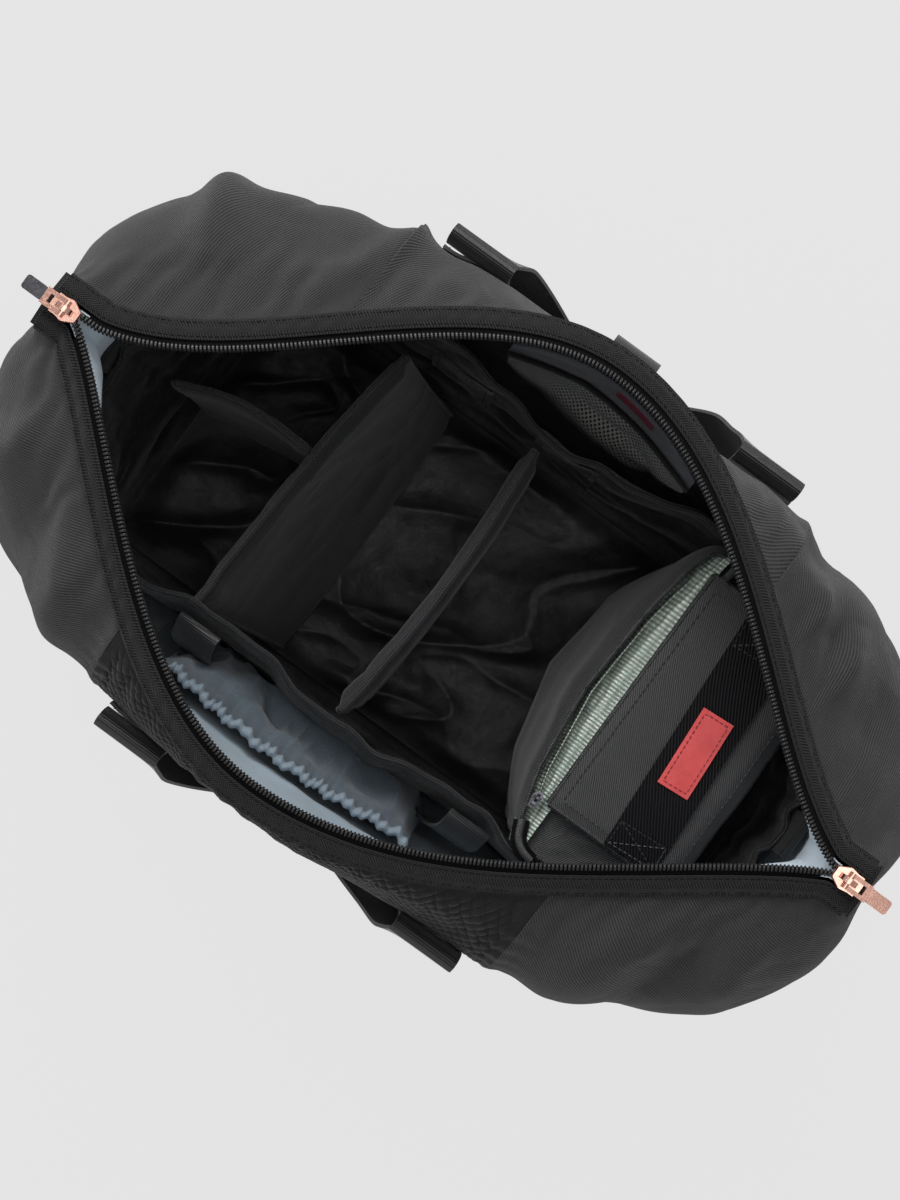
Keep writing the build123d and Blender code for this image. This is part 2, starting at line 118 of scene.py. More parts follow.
def value_noise(points, seed):
    """Smooth noise from -1 to 1 at points of shape (..., 3)."""
    cell = np.floor(points).astype(np.int64) + 100000
    f = points - np.floor(points)
    f = f * f * f * (f * (f * 6 - 15) + 10)
    total = np.zeros(points.shape[:-1])
    for dx, dy, dz in np.ndindex(2, 2, 2):
        weight = np.abs(1 - dx - f[..., 0]) * np.abs(1 - dy - f[..., 1]) * np.abs(1 - dz - f[..., 2])
        total += weight * lattice(cell[..., 0] + dx, cell[..., 1] + dy, cell[..., 2] + dz, seed)
    return total


def soft_noise(points, size, seed, octaves=2):
    """Noise with its largest features about size apart."""
    return sum(0.5**k * value_noise(points * (2**k / size), seed + 7 * k) for k in range(octaves))


def creases(points, size, seed, octaves=2):
    """Sharp-crested folds about size apart, from about -1 to 1."""
    warp = np.stack([value_noise(points / (size * 1.7), seed + k) for k in (101, 102, 103)], -1)
    warped = points + warp * size * 0.55
    total = 0.0
    for k in range(octaves):
        total = total + 0.45**k * (1 - 2.4 * np.abs(value_noise(warped * (2**k / size), seed + 5 * k)))
    return total / 1.45


def step(x, low, high):
    """0 below low, 1 above high, smooth between them."""
    t = np.clip((np.asarray(x, float) - low) / (high - low), 0, 1)
    return t * t * (3 - 2 * t)


def window(x, low, full, fade, high):
    """1 from full to fade, and 0 outside low and high."""
    return step(x, low, full) * (1 - step(x, fade, high))


def bump_at(x, centre, width):
    return np.exp(-(((np.asarray(x, float) - centre) / width) ** 2))


def arch(t, power=1.0):
    """A half wave over t from 0 to 1, raised to a power."""
    return np.sin(math.pi * t) ** power


def unit(vectors):
    return vectors / np.maximum(np.linalg.norm(vectors, axis=-1, keepdims=True), 1e-12)


def stacked(*parts):
    """Points from their coordinates, which may be of any shapes that fit together."""
    return np.stack(np.broadcast_arrays(*parts), -1)


def plane(us, vs):
    return np.meshgrid(us, vs, indexing="ij")


def spline(controls, count):
    """Smooth curves through controls of shape (k, ..., 3), sampled at count even parameters."""
    controls = np.asarray(controls, float)
    k = len(controls)
    column = (-1,) + (1,) * (controls.ndim - 1)
    chords = np.linalg.norm(np.diff(controls.reshape(k, -1, 3), axis=0), axis=2).mean(axis=1)
    knots = np.concatenate([[0], np.cumsum(chords)])
    before = np.maximum(np.arange(k) - 1, 0)
    after = np.minimum(np.arange(k) + 1, k - 1)
    tangents = (controls[after] - controls[before]) / (knots[after] - knots[before]).reshape(column)
    t = np.linspace(0, knots[-1], count)
    i = np.clip(np.searchsorted(knots, t, side="right") - 1, 0, k - 2)
    h = (knots[i + 1] - knots[i]).reshape(column)
    s = (t - knots[i]).reshape(column) / h
    return (
        (2 * s**3 - 3 * s**2 + 1) * controls[i]
        + (s**3 - 2 * s**2 + s) * h * tangents[i]
        + (3 * s**2 - 2 * s**3) * controls[i + 1]
        + (s**3 - s**2) * h * tangents[i + 1]
    )


def lengths_along(line):
    """How far along a line of points each of them is."""
    return np.concatenate([[0], np.cumsum(np.linalg.norm(np.diff(line, axis=0), axis=1))])


def evenly(line, count):
    """count points evenly spaced along a line of points."""
    line = np.asarray(line, float)
    along = lengths_along(line)
    targets = np.linspace(0, along[-1], count)
    return np.stack([np.interp(targets, along, line[:, k]) for k in range(line.shape[1])], -1)


def normals_of(grid):
    """Unit normals of a grid of points, from its two directions."""
    return unit(np.cross(np.gradient(grid, axis=0), np.gradient(grid, axis=1)))


def round_edge(grid):
    """The points round a grid's edge, ending where they start."""
    return np.concatenate([grid[:, 0], grid[-1, 1:], grid[-2::-1, -1], grid[0, -2::-1]])


# ---- meshes ----
def turned_outward(points, faces):
    """The same faces, all flipped if the closed mesh they make is inside out."""
    total = 0.0
    for size in {len(f) for f in faces}:
        group = np.array([f for f in faces if len(f) == size])
        a = points[group[:, 0]]
        for k in range(1, size - 1):
            b, c = points[group[:, k]], points[group[:, k + 1]]
            total += float((a * np.cross(b, c)).sum())
    return faces if total >= 0 else [f[::-1] for f in faces]


def make_mesh(name, points, faces, cloth, smooth_angle=45):
    """A mesh object; cloth gives each point its place on the flat fabric, for the weaves."""
    mesh = bpy.data.meshes.new(name)
    points = np.asarray(points, float)
    faces = turned_outward(points, [tuple(int(i) for i in f) for f in faces])
    mesh.from_pydata(points.tolist(), [], faces)
    mesh.polygons.foreach_set("use_smooth", [True] * len(mesh.polygons))
    mesh.set_sharp_from_angle(angle=math.radians(smooth_angle))
    attribute = mesh.attributes.new("cloth", "FLOAT_VECTOR", "POINT")
    attribute.data.foreach_set("vector", np.asarray(cloth, np.float32).ravel())
    mesh.update()
    obj = bpy.data.objects.new(name, mesh)
    bpy.context.scene.collection.objects.link(obj)
    return obj


def grid_faces(nu, nv, offset=0):
    i, j = plane(np.arange(nu - 1), np.arange(nv - 1))
    a = (i * nv + j).ravel() + offset
    return np.stack([a, a + nv, a + nv + 1, a + 1], -1)


def ring_faces(rows, cols, offset=0, closed=False):
    """Quads of a grid whose columns run round; closed joins its last row to its first."""
    i, j = plane(np.arange(rows if closed else rows - 1), np.arange(cols))
    k, m = (j + 1) % cols, (i + 1) % rows
    quads = np.stack([i * cols + j, i * cols + k, m * cols + k, m * cols + j], -1)
    return (quads.reshape(-1, 4) + offset).tolist()


def capped(rows, cols, offset=0):
    """The faces of a tube of rings, with a cap on each end."""
    last = offset + (rows - 1) * cols
    caps = [list(range(offset + cols - 1, offset - 1, -1)), list(range(last, last + cols))]
    return ring_faces(rows, cols, offset) + caps


def cloth_coords(grid):
    """Each grid point's place on the flat fabric."""
    sizes = [np.linalg.norm(np.diff(grid, axis=k), axis=2).mean(axis=1 - k) for k in (0, 1)]
    u, v = (np.concatenate([[0], np.cumsum(size)]) for size in sizes)
    return stacked(u[:, None], v[None, :], 0.0)


def slab(name, grid, thick):
    """A closed sheet of the given thickness round a grid of points of shape (nu, nv, 3)."""
    grid = np.asarray(grid, float)
    nu, nv = grid.shape[:2]
    n = normals_of(grid)
    half = n * np.asarray(thick)[..., None] / 2 if np.ndim(thick) else n * thick / 2
    points = np.concatenate([(grid + half).reshape(-1, 3), (grid - half).reshape(-1, 3)])
    ring = round_edge(np.arange(nu * nv).reshape(nu, nv, 1))[:-1, 0]
    nxt = np.roll(ring, -1)
    sides = np.stack([ring, ring + nu * nv, nxt + nu * nv, nxt], -1)
    faces = [grid_faces(nu, nv), grid_faces(nu, nv, nu * nv)[:, ::-1], sides]
    cloth = cloth_coords(grid).reshape(-1, 3)
    return make_mesh(name, points, np.concatenate(faces), np.concatenate([cloth, cloth]))


def slab_ring(name, ring, thick, rings=24, height=None):
    """A closed slab that fills a ring of points, in rows from the ring to its middle."""
    centre = ring.mean(axis=0)
    grid = centre + (ring[None] - centre) * np.linspace(1, 0.02, rings)[:, None, None]
    if height is not None:
        grid[..., 2] += height(grid)
    rows, cols = grid.shape[:2]
    up = UP * thick / 2
    points = np.concatenate([(grid + up).reshape(-1, 3), (grid - up).reshape(-1, 3)])
    half = rows * cols
    faces = ring_faces(rows, cols) + [f[::-1] for f in ring_faces(rows, cols, half)]
    faces += [(j, j + half, (j + 1) % cols + half, (j + 1) % cols) for j in range(cols)]
    last = range((rows - 1) * cols, half)
    faces += [list(last), [half + j for j in reversed(last)]]
    return make_mesh(name, points, faces, points * np.array([1, 1, 0.0]))


def tube(name, line, radii, sides=8, up=UP):
    """A closed tube along a line, with its radii across and upward."""
    line = np.asarray(line, float)
    count = len(line)
    along = unit(np.gradient(line, axis=0))
    right = unit(np.cross(along, up))
    up = np.cross(right, along)
    angles = np.linspace(0, 2 * math.pi, sides, endpoint=False)
    ring = (
        line[:, None]
        + right[:, None] * (np.cos(angles) * radii[0])[None, :, None]
        + up[:, None] * (np.sin(angles) * radii[1])[None, :, None]
    )
    points = np.concatenate([ring.reshape(-1, 3), line[:1], line[-1:]])
    start, low = count * sides, (count - 1) * sides
    faces = [f[::-1] for f in ring_faces(count, sides)]
    for j in range(sides):
        k = (j + 1) % sides
        faces += [(start, j, k), (start + 1, low + k, low + j)]
    length = lengths_along(line)
    cloth = stacked(length[:, None], angles[None, :] * radii[0], 0.0).reshape(-1, 3)
    cloth = np.concatenate([cloth, [[0, 0, 0]], [[length[-1], 0, 0]]])
    return make_mesh(name, points, faces, cloth)


# ---- materials ----
class Nodes:
    """A material's node tree with short calls for the nodes used here."""

    def __init__(self, name):
        self.material = bpy.data.materials.new(name)
        self.material.use_nodes = True
        self.tree = self.material.node_tree
        self.shader = self.tree.nodes["Principled BSDF"]

    def node(self, kind, inputs=(), **values):
        node = self.tree.nodes.new(kind)
        for key, value in values.items():
            setattr(node, key, value)
        for key, value in dict(inputs).items():
            self.feed(node.inputs[key], value)
        return node

    def feed(self, socket, value):
        if isinstance(value, bpy.types.NodeSocket):
            self.tree.links.new(value, socket)
        else:
            socket.default_value = value

    def math(self, operation, a, b=0.0):
        return self.node("ShaderNodeMath", {0: a, 1: b}, operation=operation).outputs[0]

    def times(self, a, b):
        return self.math("MULTIPLY", a, b)

    def plus(self, a, b):
        return self.math("ADD", a, b)

    def cloth(self):
        """The fabric's own two coordinates, in millimetres."""
        node = self.node("ShaderNodeAttribute", attribute_name="cloth")
        split = self.node("ShaderNodeSeparateXYZ", {0: node.outputs["Vector"]})
        return [self.times(split.outputs[k], 1000) for k in (0, 1)]

    def wave(self, value, pitch):
        """A wave from 0 to 1 with that pitch."""
        turned = self.times(value, 2 * math.pi / pitch)
        return self.plus(self.times(self.math("SINE", turned), 0.5), 0.5)

    def noise(self, scale, detail=3.0, rough=0.55):
        place = self.node("ShaderNodeTexCoord").outputs["Object"]
        inputs = {"Vector": place, "Scale": scale, "Detail": detail, "Roughness": rough}
        return self.node("ShaderNodeTexNoise", inputs).outputs["Fac"]

    def blend(self, factor, first, second):
        first, second = ((*c, 1.0) if isinstance(c, tuple) else c for c in (first, second))
        node = self.node("ShaderNodeMix", data_type="RGBA")
        for key, value in (("Factor", factor), ("A", first), ("B", second)):
            self.feed(node.inputs[key], value)
        return node.outputs["Result"]

    def spread(self, value, low, high, out_low=0.0, out_high=1.0):
        inputs = {"Value": value, "From Min": low, "From Max": high, "To Min": out_low, "To Max": out_high}
        return self.node("ShaderNodeMapRange", inputs).outputs["Result"]

    def bump(self, height, depth, normal=None):
        node = self.node("ShaderNodeBump", {"Strength": 1.0, "Distance": depth, "Height": height})
        if normal is not None:
            self.feed(node.inputs["Normal"], normal)
        return node.outputs["Normal"]

    def finish(self, **values):
        for key, value in values.items():
            self.feed(self.shader.inputs[key.replace("_", " ")], value)
        return self.material


def scaled(colour, share, most=math.inf):
    return tuple(min(most, c * share) for c in colour)


def weave_height(m, weave, pitch):
    """The height of a weave from 0 to 1, in the fabric's own directions."""
    u, v = m.cloth()
    if weave == "twill":
        diagonal = m.wave(m.plus(u, v), pitch)
        return m.plus(m.times(diagonal, 0.7), m.times(m.wave(m.math("SUBTRACT", u, v), pitch * 0.62), 0.3))
    if weave == "ribs":
        return m.plus(m.times(m.wave(u, pitch), 0.8), m.times(m.wave(v, pitch * 0.45), 0.2))
    if weave == "herringbone":
        return m.wave(m.plus(u, m.math("PINGPONG", v, pitch * 2.5)), pitch)
    if weave == "diagonal":
        return m.wave(m.plus(u, m.times(v, 0.55)), pitch)
    return m.times(m.wave(u, pitch), m.wave(v, pitch))


def cloth_material(name, colour, weave, pitch, depth, rough=0.75, sheen=0.3, lift=1.6, fuzz=0.25, shine=0.16):
    """Woven fabric: thread height as bump, painted shade in the weave's grooves and painted light on the
    threads' tops, and soft mottling.
    """
    m = Nodes(name)
    height = weave_height(m, weave, pitch)
    mottle = m.noise(34, 4, 0.6)
    fine = m.noise(900, 2, 0.6)
    # Painted shade and light: the colour runs from dark in the weave's grooves to lift times the colour on
    # the threads' tops.
    light = scaled(colour, lift, 1.0)
    threads = m.blend(height, scaled(colour, 0.28 if max(colour) < 0.2 else 0.8), light)
    worn = m.blend(m.spread(mottle, 0.35, 0.7, 0.0, fuzz), threads, scaled(colour, 1.9))
    return m.finish(
        Base_Color=m.blend(m.spread(fine, 0.45, 0.75, 0.0, 0.35), worn, light),
        Roughness=m.spread(mottle, 0.3, 0.7, rough - 0.06, rough + 0.08),
        Normal=m.bump(height, depth, m.bump(fine, 0.00006)),
        Sheen_Weight=sheen,
        Sheen_Roughness=0.45,
        Specular_IOR_Level=shine,
    )


def nylon_material(name, colour, rough):
    """Thin slick nylon: fine ripstop threads and small crumples, painted darker in their hollows and lighter
    on their crests as painted shade and light.
    """
    m = Nodes(name)
    height = weave_height(m, "plain", 0.55)
    crumple = m.noise(70, 5, 0.6)
    small = m.noise(260, 3, 0.6)
    return m.finish(
        # Painted shade and light: the colour follows the crumples' height, darker in their hollows and
        # lighter on their crests.
        Base_Color=m.blend(m.spread(crumple, 0.3, 0.7), scaled(colour, 0.7), scaled(colour, 1.5)),
        Roughness=m.spread(small, 0.3, 0.7, rough - 0.08, rough + 0.12),
        Normal=m.bump(crumple, 0.0008, m.bump(small, 0.0002, m.bump(height, 0.00005))),
        Sheen_Weight=0.10,
        Sheen_Roughness=0.3,
        Specular_IOR_Level=0.30,
    )


def metal_material(name, colour, rough):
    m = Nodes(name)
    scratches = m.noise(700, 4, 0.7)
    tarnish = m.noise(160, 3, 0.5)
    return m.finish(
        Base_Color=m.blend(m.spread(tarnish, 0.35, 0.75), colour, scaled(colour, 0.78)),
        Metallic=1.0,
        Roughness=m.spread(scratches, 0.3, 0.7, rough, rough + 0.14),
        Normal=m.bump(scratches, 0.00004),
    )


def plastic_material(name, colour, rough):
    m = Nodes(name)
    grain = m.noise(1200, 2, 0.5)
    return m.finish(
        Base_Color=m.blend(grain, scaled(colour, 0.8), scaled(colour, 1.3)),
        Roughness=m.spread(grain, 0.3, 0.7, rough, rough + 0.12),
        Normal=m.bump(grain, 0.00004),
        Specular_IOR_Level=0.6,
    )


def foil_material(name):
    """Crinkled woven foil: fine ribs painted dark in their grooves and bright on their tops as painted shade
    and reflection, and bright and dark crinkles.
    """
    m = Nodes(name)
    u, v = m.cloth()
    ribs = m.times(m.wave(u, 2.1), m.plus(m.times(m.wave(v, 4.2), 0.5), 0.5))
    crinkle = m.noise(420, 5, 0.7)
    broad = m.noise(75, 3, 0.6)
    # Painted shade and reflection: each rib's colour runs from dark grey-green in its groove to bright on its
    # top.
    woven = m.blend(ribs, (0.13, 0.165, 0.14), (0.58, 0.63, 0.56))
    return m.finish(
        Base_Color=m.blend(m.spread(broad, 0.35, 0.7, 0, 0.6), woven, (0.20, 0.25, 0.22)),
        Metallic=0.35,
        Roughness=m.spread(crinkle, 0.3, 0.7, 0.24, 0.44),
        Normal=m.bump(crinkle, 0.0006, m.bump(ribs, 0.00035)),
    )


def mesh_material(name):
    """Open black mesh: the holes are cut out of the cloth."""
    m = Nodes(name)
    u, v = m.cloth()
    lean = m.times(v, 0.5)
    hole = m.times(m.wave(m.plus(u, lean), 3.0), m.wave(m.math("SUBTRACT", u, lean), 3.0))
    return m.finish(
        # Painted highlight: the black mesh's threads are coloured grey along their middles, darkening towards
        # the holes.
        Base_Color=m.blend(hole, (0.150, 0.155, 0.145), (0.020, 0.020, 0.022)),
        Roughness=0.6,
        Alpha=m.math("LESS_THAN", hole, 0.30),
        Normal=m.bump(hole, -0.0004),
    )


def patch_material(name, colour):
    m = Nodes(name)
    grain = m.noise(420, 4, 0.6)
    broad = m.noise(90, 2, 0.5)
    return m.finish(
        Base_Color=m.blend(m.spread(broad, 0.3, 0.7), scaled(colour, 0.85), colour),
        Roughness=m.spread(grain, 0.3, 0.7, 0.42, 0.6),
        Normal=m.bump(grain, 0.00018),
    )


# Woven materials: colour, weave, pitch in mm, depth, then roughness, sheen, lift, fuzz and shine; lift is how
# much lighter the threads' tops are painted, as painted light
CLOTHS = {
    "outer": ("outer_twill", (0.0192, 0.0192, 0.0197), "twill", 1.9, 0.00045, 0.8, 0.16, 3.0),
    "embossed": ("embossed_cloth", (0.0135, 0.0135, 0.0140), "plain", 0.8, 0.0001, 0.6, 0.10),
    "lining": ("lining_cloth", (0.34, 0.42, 0.485), "plain", 0.7, 0.00008, 0.5, 0.2, 1.15, 0.1),
    # The end linings' colour is the lining's made about twice as light: painted light at the bag's tips.
    "lining_tip": ("lining_tip_cloth", (0.72, 0.83, 0.92), "plain", 0.7, 0.00008, 0.5, 0.2, 1.1, 0.1),
    # The hem's colour is the lining's darkened to about half: painted shade on the pocket's elastic hem.
    "hem": ("hem_cloth", (0.19, 0.235, 0.275), "plain", 0.8, 0.0001, 0.55, 0.2, 1.15, 0.1),
    # The pocket's colour is the lining's darkened to about a third: painted shade on the front pocket's body.
    "pocket": ("pocket_cloth", (0.125, 0.155, 0.185), "plain", 0.8, 0.0001, 0.55, 0.2, 1.15, 0.1),
    "lining_dark": ("lining_shaded", (0.055, 0.058, 0.072), "plain", 0.7, 0.00008, 0.55, 0.1, 1.2, 0.1),
    "webbing": ("webbing_cloth", (0.01, 0.01, 0.0106), "ribs", 1.15, 0.00022, 0.32, 0.12, 2.0, 0.1, 0.4),
    "strap": ("strap_cloth", (0.0016, 0.0016, 0.0018), "diagonal", 1.8, 0.00045, 0.5, 0.02, 9.0, 0.1, 0.08),
    "tape": ("tape_cloth", (0.0030, 0.0030, 0.0034), "ribs", 0.9, 0.0002, 0.7, 0.02, 1.6, 0.1, 0.06),
    "binding": ("binding_cloth", (0.0095, 0.0095, 0.0098), "herringbone", 1.5, 0.0004, 0.7, 0.08, 3.0,
                0.1, 0.1),
    "padded": ("padded_cloth", (0.0230, 0.0230, 0.0245), "plain", 1.3, 0.00016, 0.75, 0.14, 2.2),
    "lid": ("lid_cloth", (0.030, 0.030, 0.0305), "diagonal", 1.2, 0.00016, 0.7, 0.15, 2.4),
}
MATERIALS = {key: cloth_material(*values) for key, values in CLOTHS.items()}
MATERIALS |= {
    "nylon": nylon_material("organiser_nylon", (0.0180, 0.0174, 0.0184), 0.36),
    "coil": plastic_material("coil_plastic", (0.014, 0.014, 0.0148), 0.34),
    "rose": metal_material("rose_gold", (0.86, 0.50, 0.40), 0.14),
    "gunmetal": metal_material("gunmetal", (0.10, 0.10, 0.11), 0.22),
    "foil": foil_material("pouch_foil"),
    "mesh": mesh_material("pocket_mesh"),
    "patch": patch_material("red_patch", (0.60, 0.055, 0.055)),
    "label": patch_material("maroon_label", (0.09, 0.010, 0.022)),
    "thread": plastic_material("thread", (0.012, 0.012, 0.013), 0.5),
    "red_thread": plastic_material("red_thread", (0.26, 0.015, 0.02), 0.5),
    "board": plastic_material("board_grain", (0.05, 0.05, 0.05), 0.6),
}


# ---- pieces ----
def dressed(obj, material, body, stands_for=()):
    """Gives a piece its material and its body, and hides the CAD nodes that it stands for."""
    obj.data.materials.clear()
    obj.data.materials.append(MATERIALS[material])
    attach(obj, body)
    if stands_for:
        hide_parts(*stands_for)
    return obj


def declare_sheet(grid):
    """Works out a sheet's flat width, length and area from its grid; nothing uses them."""
    coords = cloth_coords(grid)
    width, length = float(coords[-1, 0, 0]), float(coords[0, -1, 1])
    if min(width, length) < NARROWEST_SHEET:
        return
    cells = np.cross(grid[1:, :-1] - grid[:-1, :-1], grid[:-1, 1:] - grid[:-1, :-1])
    area = float(np.linalg.norm(cells, axis=-1).sum())
    area = min(max(area, 0.31 * width * length), width * length)


def cloth_piece(name, grid, thick, material, body, stands_for=()):
    """A sheet of cloth round a grid of points."""
    obj = dressed(slab(name, grid, thick), material, body, stands_for)
    declare_sheet(grid)
    return obj


def strip(name, centre, wide, width, thick, body, material="webbing", stands_for=(),
          count=120):
    """Webbing along a centre line; wide gives the direction of its width at each point."""
    dense = spline(np.stack([np.asarray(centre, float), np.asarray(wide, float)], 1), count)
    spots = np.linspace(-0.5, 0.5, 13) * width
    grid = dense[:, :1] + unit(dense[:, 1:]) * spots[None, :, None]
    return cloth_piece(name, grid, thick, material, body, stands_for)


def threads(name, pairs, radius, sides=5):
    """Many short threads as one mesh, each from one point of a pair to the other."""
    angles = 2 * math.pi * np.arange(sides)[:, None] / sides
    points, faces = [], []
    for a, b in pairs:
        size = np.linalg.norm(b - a)
        if size < 1e-7:
            continue
        along = (b - a) / size
        side = unit(np.cross(along, UP if abs(along[2]) < 0.9 else [1.0, 0, 0]))
        circle = (side * np.cos(angles) + np.cross(side, along) * np.sin(angles)) * radius
        faces += capped(4, sides, sides * len(points))
        inset = along * size * 0.2
        points += [a + circle * 0.35, a + inset + circle, b - inset + circle, b + circle * 0.35]
    points = np.concatenate(points)
    cloth = np.zeros_like(points)
    cloth[:, 0] = np.arange(len(points)) % sides * radius
    return make_mesh(name, points, faces, cloth, 60)


def stitches(name, lines, pitch, radius, material, body):
    """Short threads one after another along each line."""
    pairs = []
    for line in lines:
        count = max(2, int(np.linalg.norm(np.diff(line, axis=0), axis=1).sum() / pitch))
        points = evenly(line, count * 4 + 1)[:-1].reshape(count, 4, 3)
        pairs += list(zip(points[:, 0], points[:, 3] * 0.936 + points[:, 2] * 0.064))
    return dressed(threads(name, pairs, radius), material, body)


# ---- the bag's outer shell ----
RIM_TABLE_X = np.linspace(-0.250, 0.250, 1001)
LEAST_Y = 0.0018
ROUNDING = 8  # table places each way over which the coil line's ends are rounded


def coil_table(side):
    """The coil line's distance from the x axis over RIM_TABLE_X, with its ends rounded."""
    x0, widest, power_left, power_right = COIL[side]
    x = RIM_TABLE_X
    share = np.where(x < x0, (x0 - x) / (COIL_END + x0), (x - x0) / (COIL_END - x0))
    power = np.where(x < x0, power_left, power_right)
    y = np.maximum(widest * np.cos(np.clip(share, 0, 1) * math.pi / 2) ** power, LEAST_Y)
    kernel = np.exp(-(np.linspace(-2, 2, 2 * ROUNDING + 1) ** 2))
    return np.convolve(np.pad(y, ROUNDING, mode="edge"), kernel / kernel.sum(), mode="valid")


COIL_TABLE = {side: coil_table(side) for side in (-1, 1)}
COIL_SLOPE = {side: np.gradient(COIL_TABLE[side], RIM_TABLE_X) for side in (-1, 1)}


def rim_y(x, side, out=0.0):
    """Distance from the x axis to a line that runs out beyond the coil."""
    slope = np.clip(np.interp(x, RIM_TABLE_X, COIL_SLOPE[side]), -1.1, 1.1)
    return np.interp(x, RIM_TABLE_X, COIL_TABLE[side]) + out * np.sqrt(1 + slope**2)


def rim_point(x, side, out=0.0, lift=0.0):
    """Points of the same line: the mouth's edge sags a little and slopes down outward."""
    x = np.asarray(x, float)
    sag = 0.0016 * np.sin(x * 21 + side) + 0.0012 * np.sin(x * 47 + 2 * side)
    end_fade = 1 - step(np.abs(x), 0.19, 0.225)
    z = COIL_Z - 0.0008 + sag * end_fade - 0.36 * max(out - 0.002, 0.0)
    return stacked(x, side * rim_y(x, side, out), z + lift)


def outline_y(section, x):
    """How far from the x axis a section's curve is."""
    _, length, depth, across, along = section
    return depth * np.clip(1 - (np.abs(x) / length) ** across, 0, 1) ** (1 / along)


def depth_at(section, x, side):
    """How far out the wall is at that x: the front bellies more than the back."""
    share = -0.012 if side < 0 else -0.050 - 0.026 * step(x, -0.06, 0.06)
    return outline_y(section, x) * (1 + share * step(section[0], 0.05, 0.2))


def shouldered(rows, rim, out, up):
    """The rows with a rounded shoulder row and then the rim's row on top."""
    last = rows[-1]
    shoulder = last + (rim - last) * out
    shoulder[:, 2] = last[:, 2] + (rim[:, 2] - last[:, 2]) * up
    return np.array([*rows, shoulder, rim])


def panel_rows(side, xs):
    """Control rows up a front or back panel, from under the bag to the ribbon."""
    base = depth_at(SECTIONS[0], xs, side)
    rows = [stacked(xs * share, side * (base - inset), z) for share, inset, z in TUCKED]
    rows += [stacked(xs, side * depth_at(section, xs, side), section[0]) for section in SECTIONS[1:]]
    return shouldered(rows, rim_point(xs, side, FABRIC_EDGE, -0.0012), 0.42, 0.64)


def quarter(section, side, count, inset=0.0):
    """A quarter of a section from the seam round to the middle of the +X end."""
    z, length = section[:2]
    x = SEAM_X + (length - SEAM_X) * (1 - np.linspace(1, 0, 600) ** 1.6)
    line = stacked(np.append(x, length), np.append(side * depth_at(section, x, side), 0.0))
    spread = evenly(line, count)
    if inset:
        radial = unit(spread - np.array([SEAM_X, 0.0]))
        fade = step(spread[:, 0], SEAM_X, SEAM_X + 0.02)[:, None]
        spread = spread - inset * (radial * fade + np.array([[0.0, side]]) * (1 - fade))
    return stacked(spread[:, 0], spread[:, 1], z)


def rim_quarter(side, count, end):
    """The rim's share of an end panel, from the seam to the middle of the end."""
    x = np.linspace(SEAM_X, TAPE_END_X + 0.001, 300)
    line = rim_point(x * end, side, FABRIC_EDGE, -0.0012)
    line[:, 0] = x
    across = line[-1] * stacked(1.0, np.linspace(1, 0, 12)[1:], 1.0)
    return evenly(np.concatenate([line, across]), count)


def round_end(pair, end):
    """One row round an end of the bag from its front and its back quarter."""
    front, back = pair
    return np.concatenate([front, back[::-1][1:]]) * np.array([end, 1, 1])


def end_rows(end, count):
    """Control rows up an end panel, front seam to back seam round the end."""
    levels = [((z, *SECTIONS[0][1:]), inset) for _, inset, z in TUCKED]
    levels += [(section, 0.0) for section in SECTIONS[1:]]
    rows = []
    for level, inset in levels:
        rows.append(round_end([quarter(level, side, count, inset) for side in (-1, 1)], end))
    rim = round_end([rim_quarter(side, count, end) for side in (-1, 1)], end)
    rows = shouldered(rows, rim, 0.42, 0.64)
    dip = 0.010 * bump_at(rows[..., 1], 0, 0.030) * step(rows[..., 2], 0.14, 0.22)
    rows[..., 0] -= end * dip * (1 - step(rows[..., 2], 0.262, 0.274))
    return rows


# Named folds of the outer fabric: from, to (x, y), half width, depth; a positive depth is a ridge
FOLDS = [
    ((-0.120, 0.150), (-0.142, 0.068), 0.007, -0.0050),
    ((-0.104, 0.140), (-0.118, 0.100), 0.010, 0.0030),
    ((-0.221, 0.110), (-0.200, 0.066), 0.012, -0.0070),
    ((-0.180, 0.118), (-0.150, 0.090), 0.020, 0.0040),
    ((0.095, 0.132), (0.150, 0.098), 0.010, -0.0040),
    ((0.128, 0.118), (0.150, 0.130), 0.011, 0.0040),
    ((0.117, 0.103), (0.141, 0.090), 0.008, -0.0024),
    ((0.142, 0.108), (0.153, 0.080), 0.009, -0.0052),
    ((0.157, 0.102), (0.168, 0.074), 0.008, 0.0034),
    ((0.172, 0.104), (0.179, 0.066), 0.010, -0.0048),
    ((0.205, 0.090), (0.196, 0.050), 0.013, 0.0035),
    ((0.150, -0.130), (0.172, -0.070), 0.016, -0.0045),
    ((0.190, -0.120), (0.205, -0.060), 0.014, 0.0045),
    ((0.225, -0.090), (0.215, -0.045), 0.012, -0.0040),
    ((-0.150, -0.140), (-0.165, -0.075), 0.013, -0.0045),
    ((-0.190, -0.120), (-0.190, -0.062), 0.017, 0.0045),
    ((-0.228, -0.085), (-0.210, -0.045), 0.012, -0.0045),
]


def fold_height(points):
    """The named folds' height at each point."""
    total = np.zeros(points.shape[:-1])
    for start, end, width, depth in FOLDS:
        start = np.array(start)
        along = np.array(end) - start
        t = np.clip(((points[..., :2] - start) @ along) / (along @ along), 0, 1)
        away = np.linalg.norm(points[..., :2] - (start + t[..., None] * along), axis=-1)
        total += depth * bump_at(away, 0, width) * arch(0.15 + 0.7 * t)
    return 1.6 * total * step(points[..., 2], 0.16, 0.22)


def seam_height(points, away):
    """The valley and small puckers beside the two seams on each side."""
    puckers = np.sin(points[..., 2] * 520 + points[..., 1] * 330 + 3 * points[..., 0])
    return -0.0018 * bump_at(away, 0, 0.0040) + 0.0005 * puckers * bump_at(away, 0, 0.012)


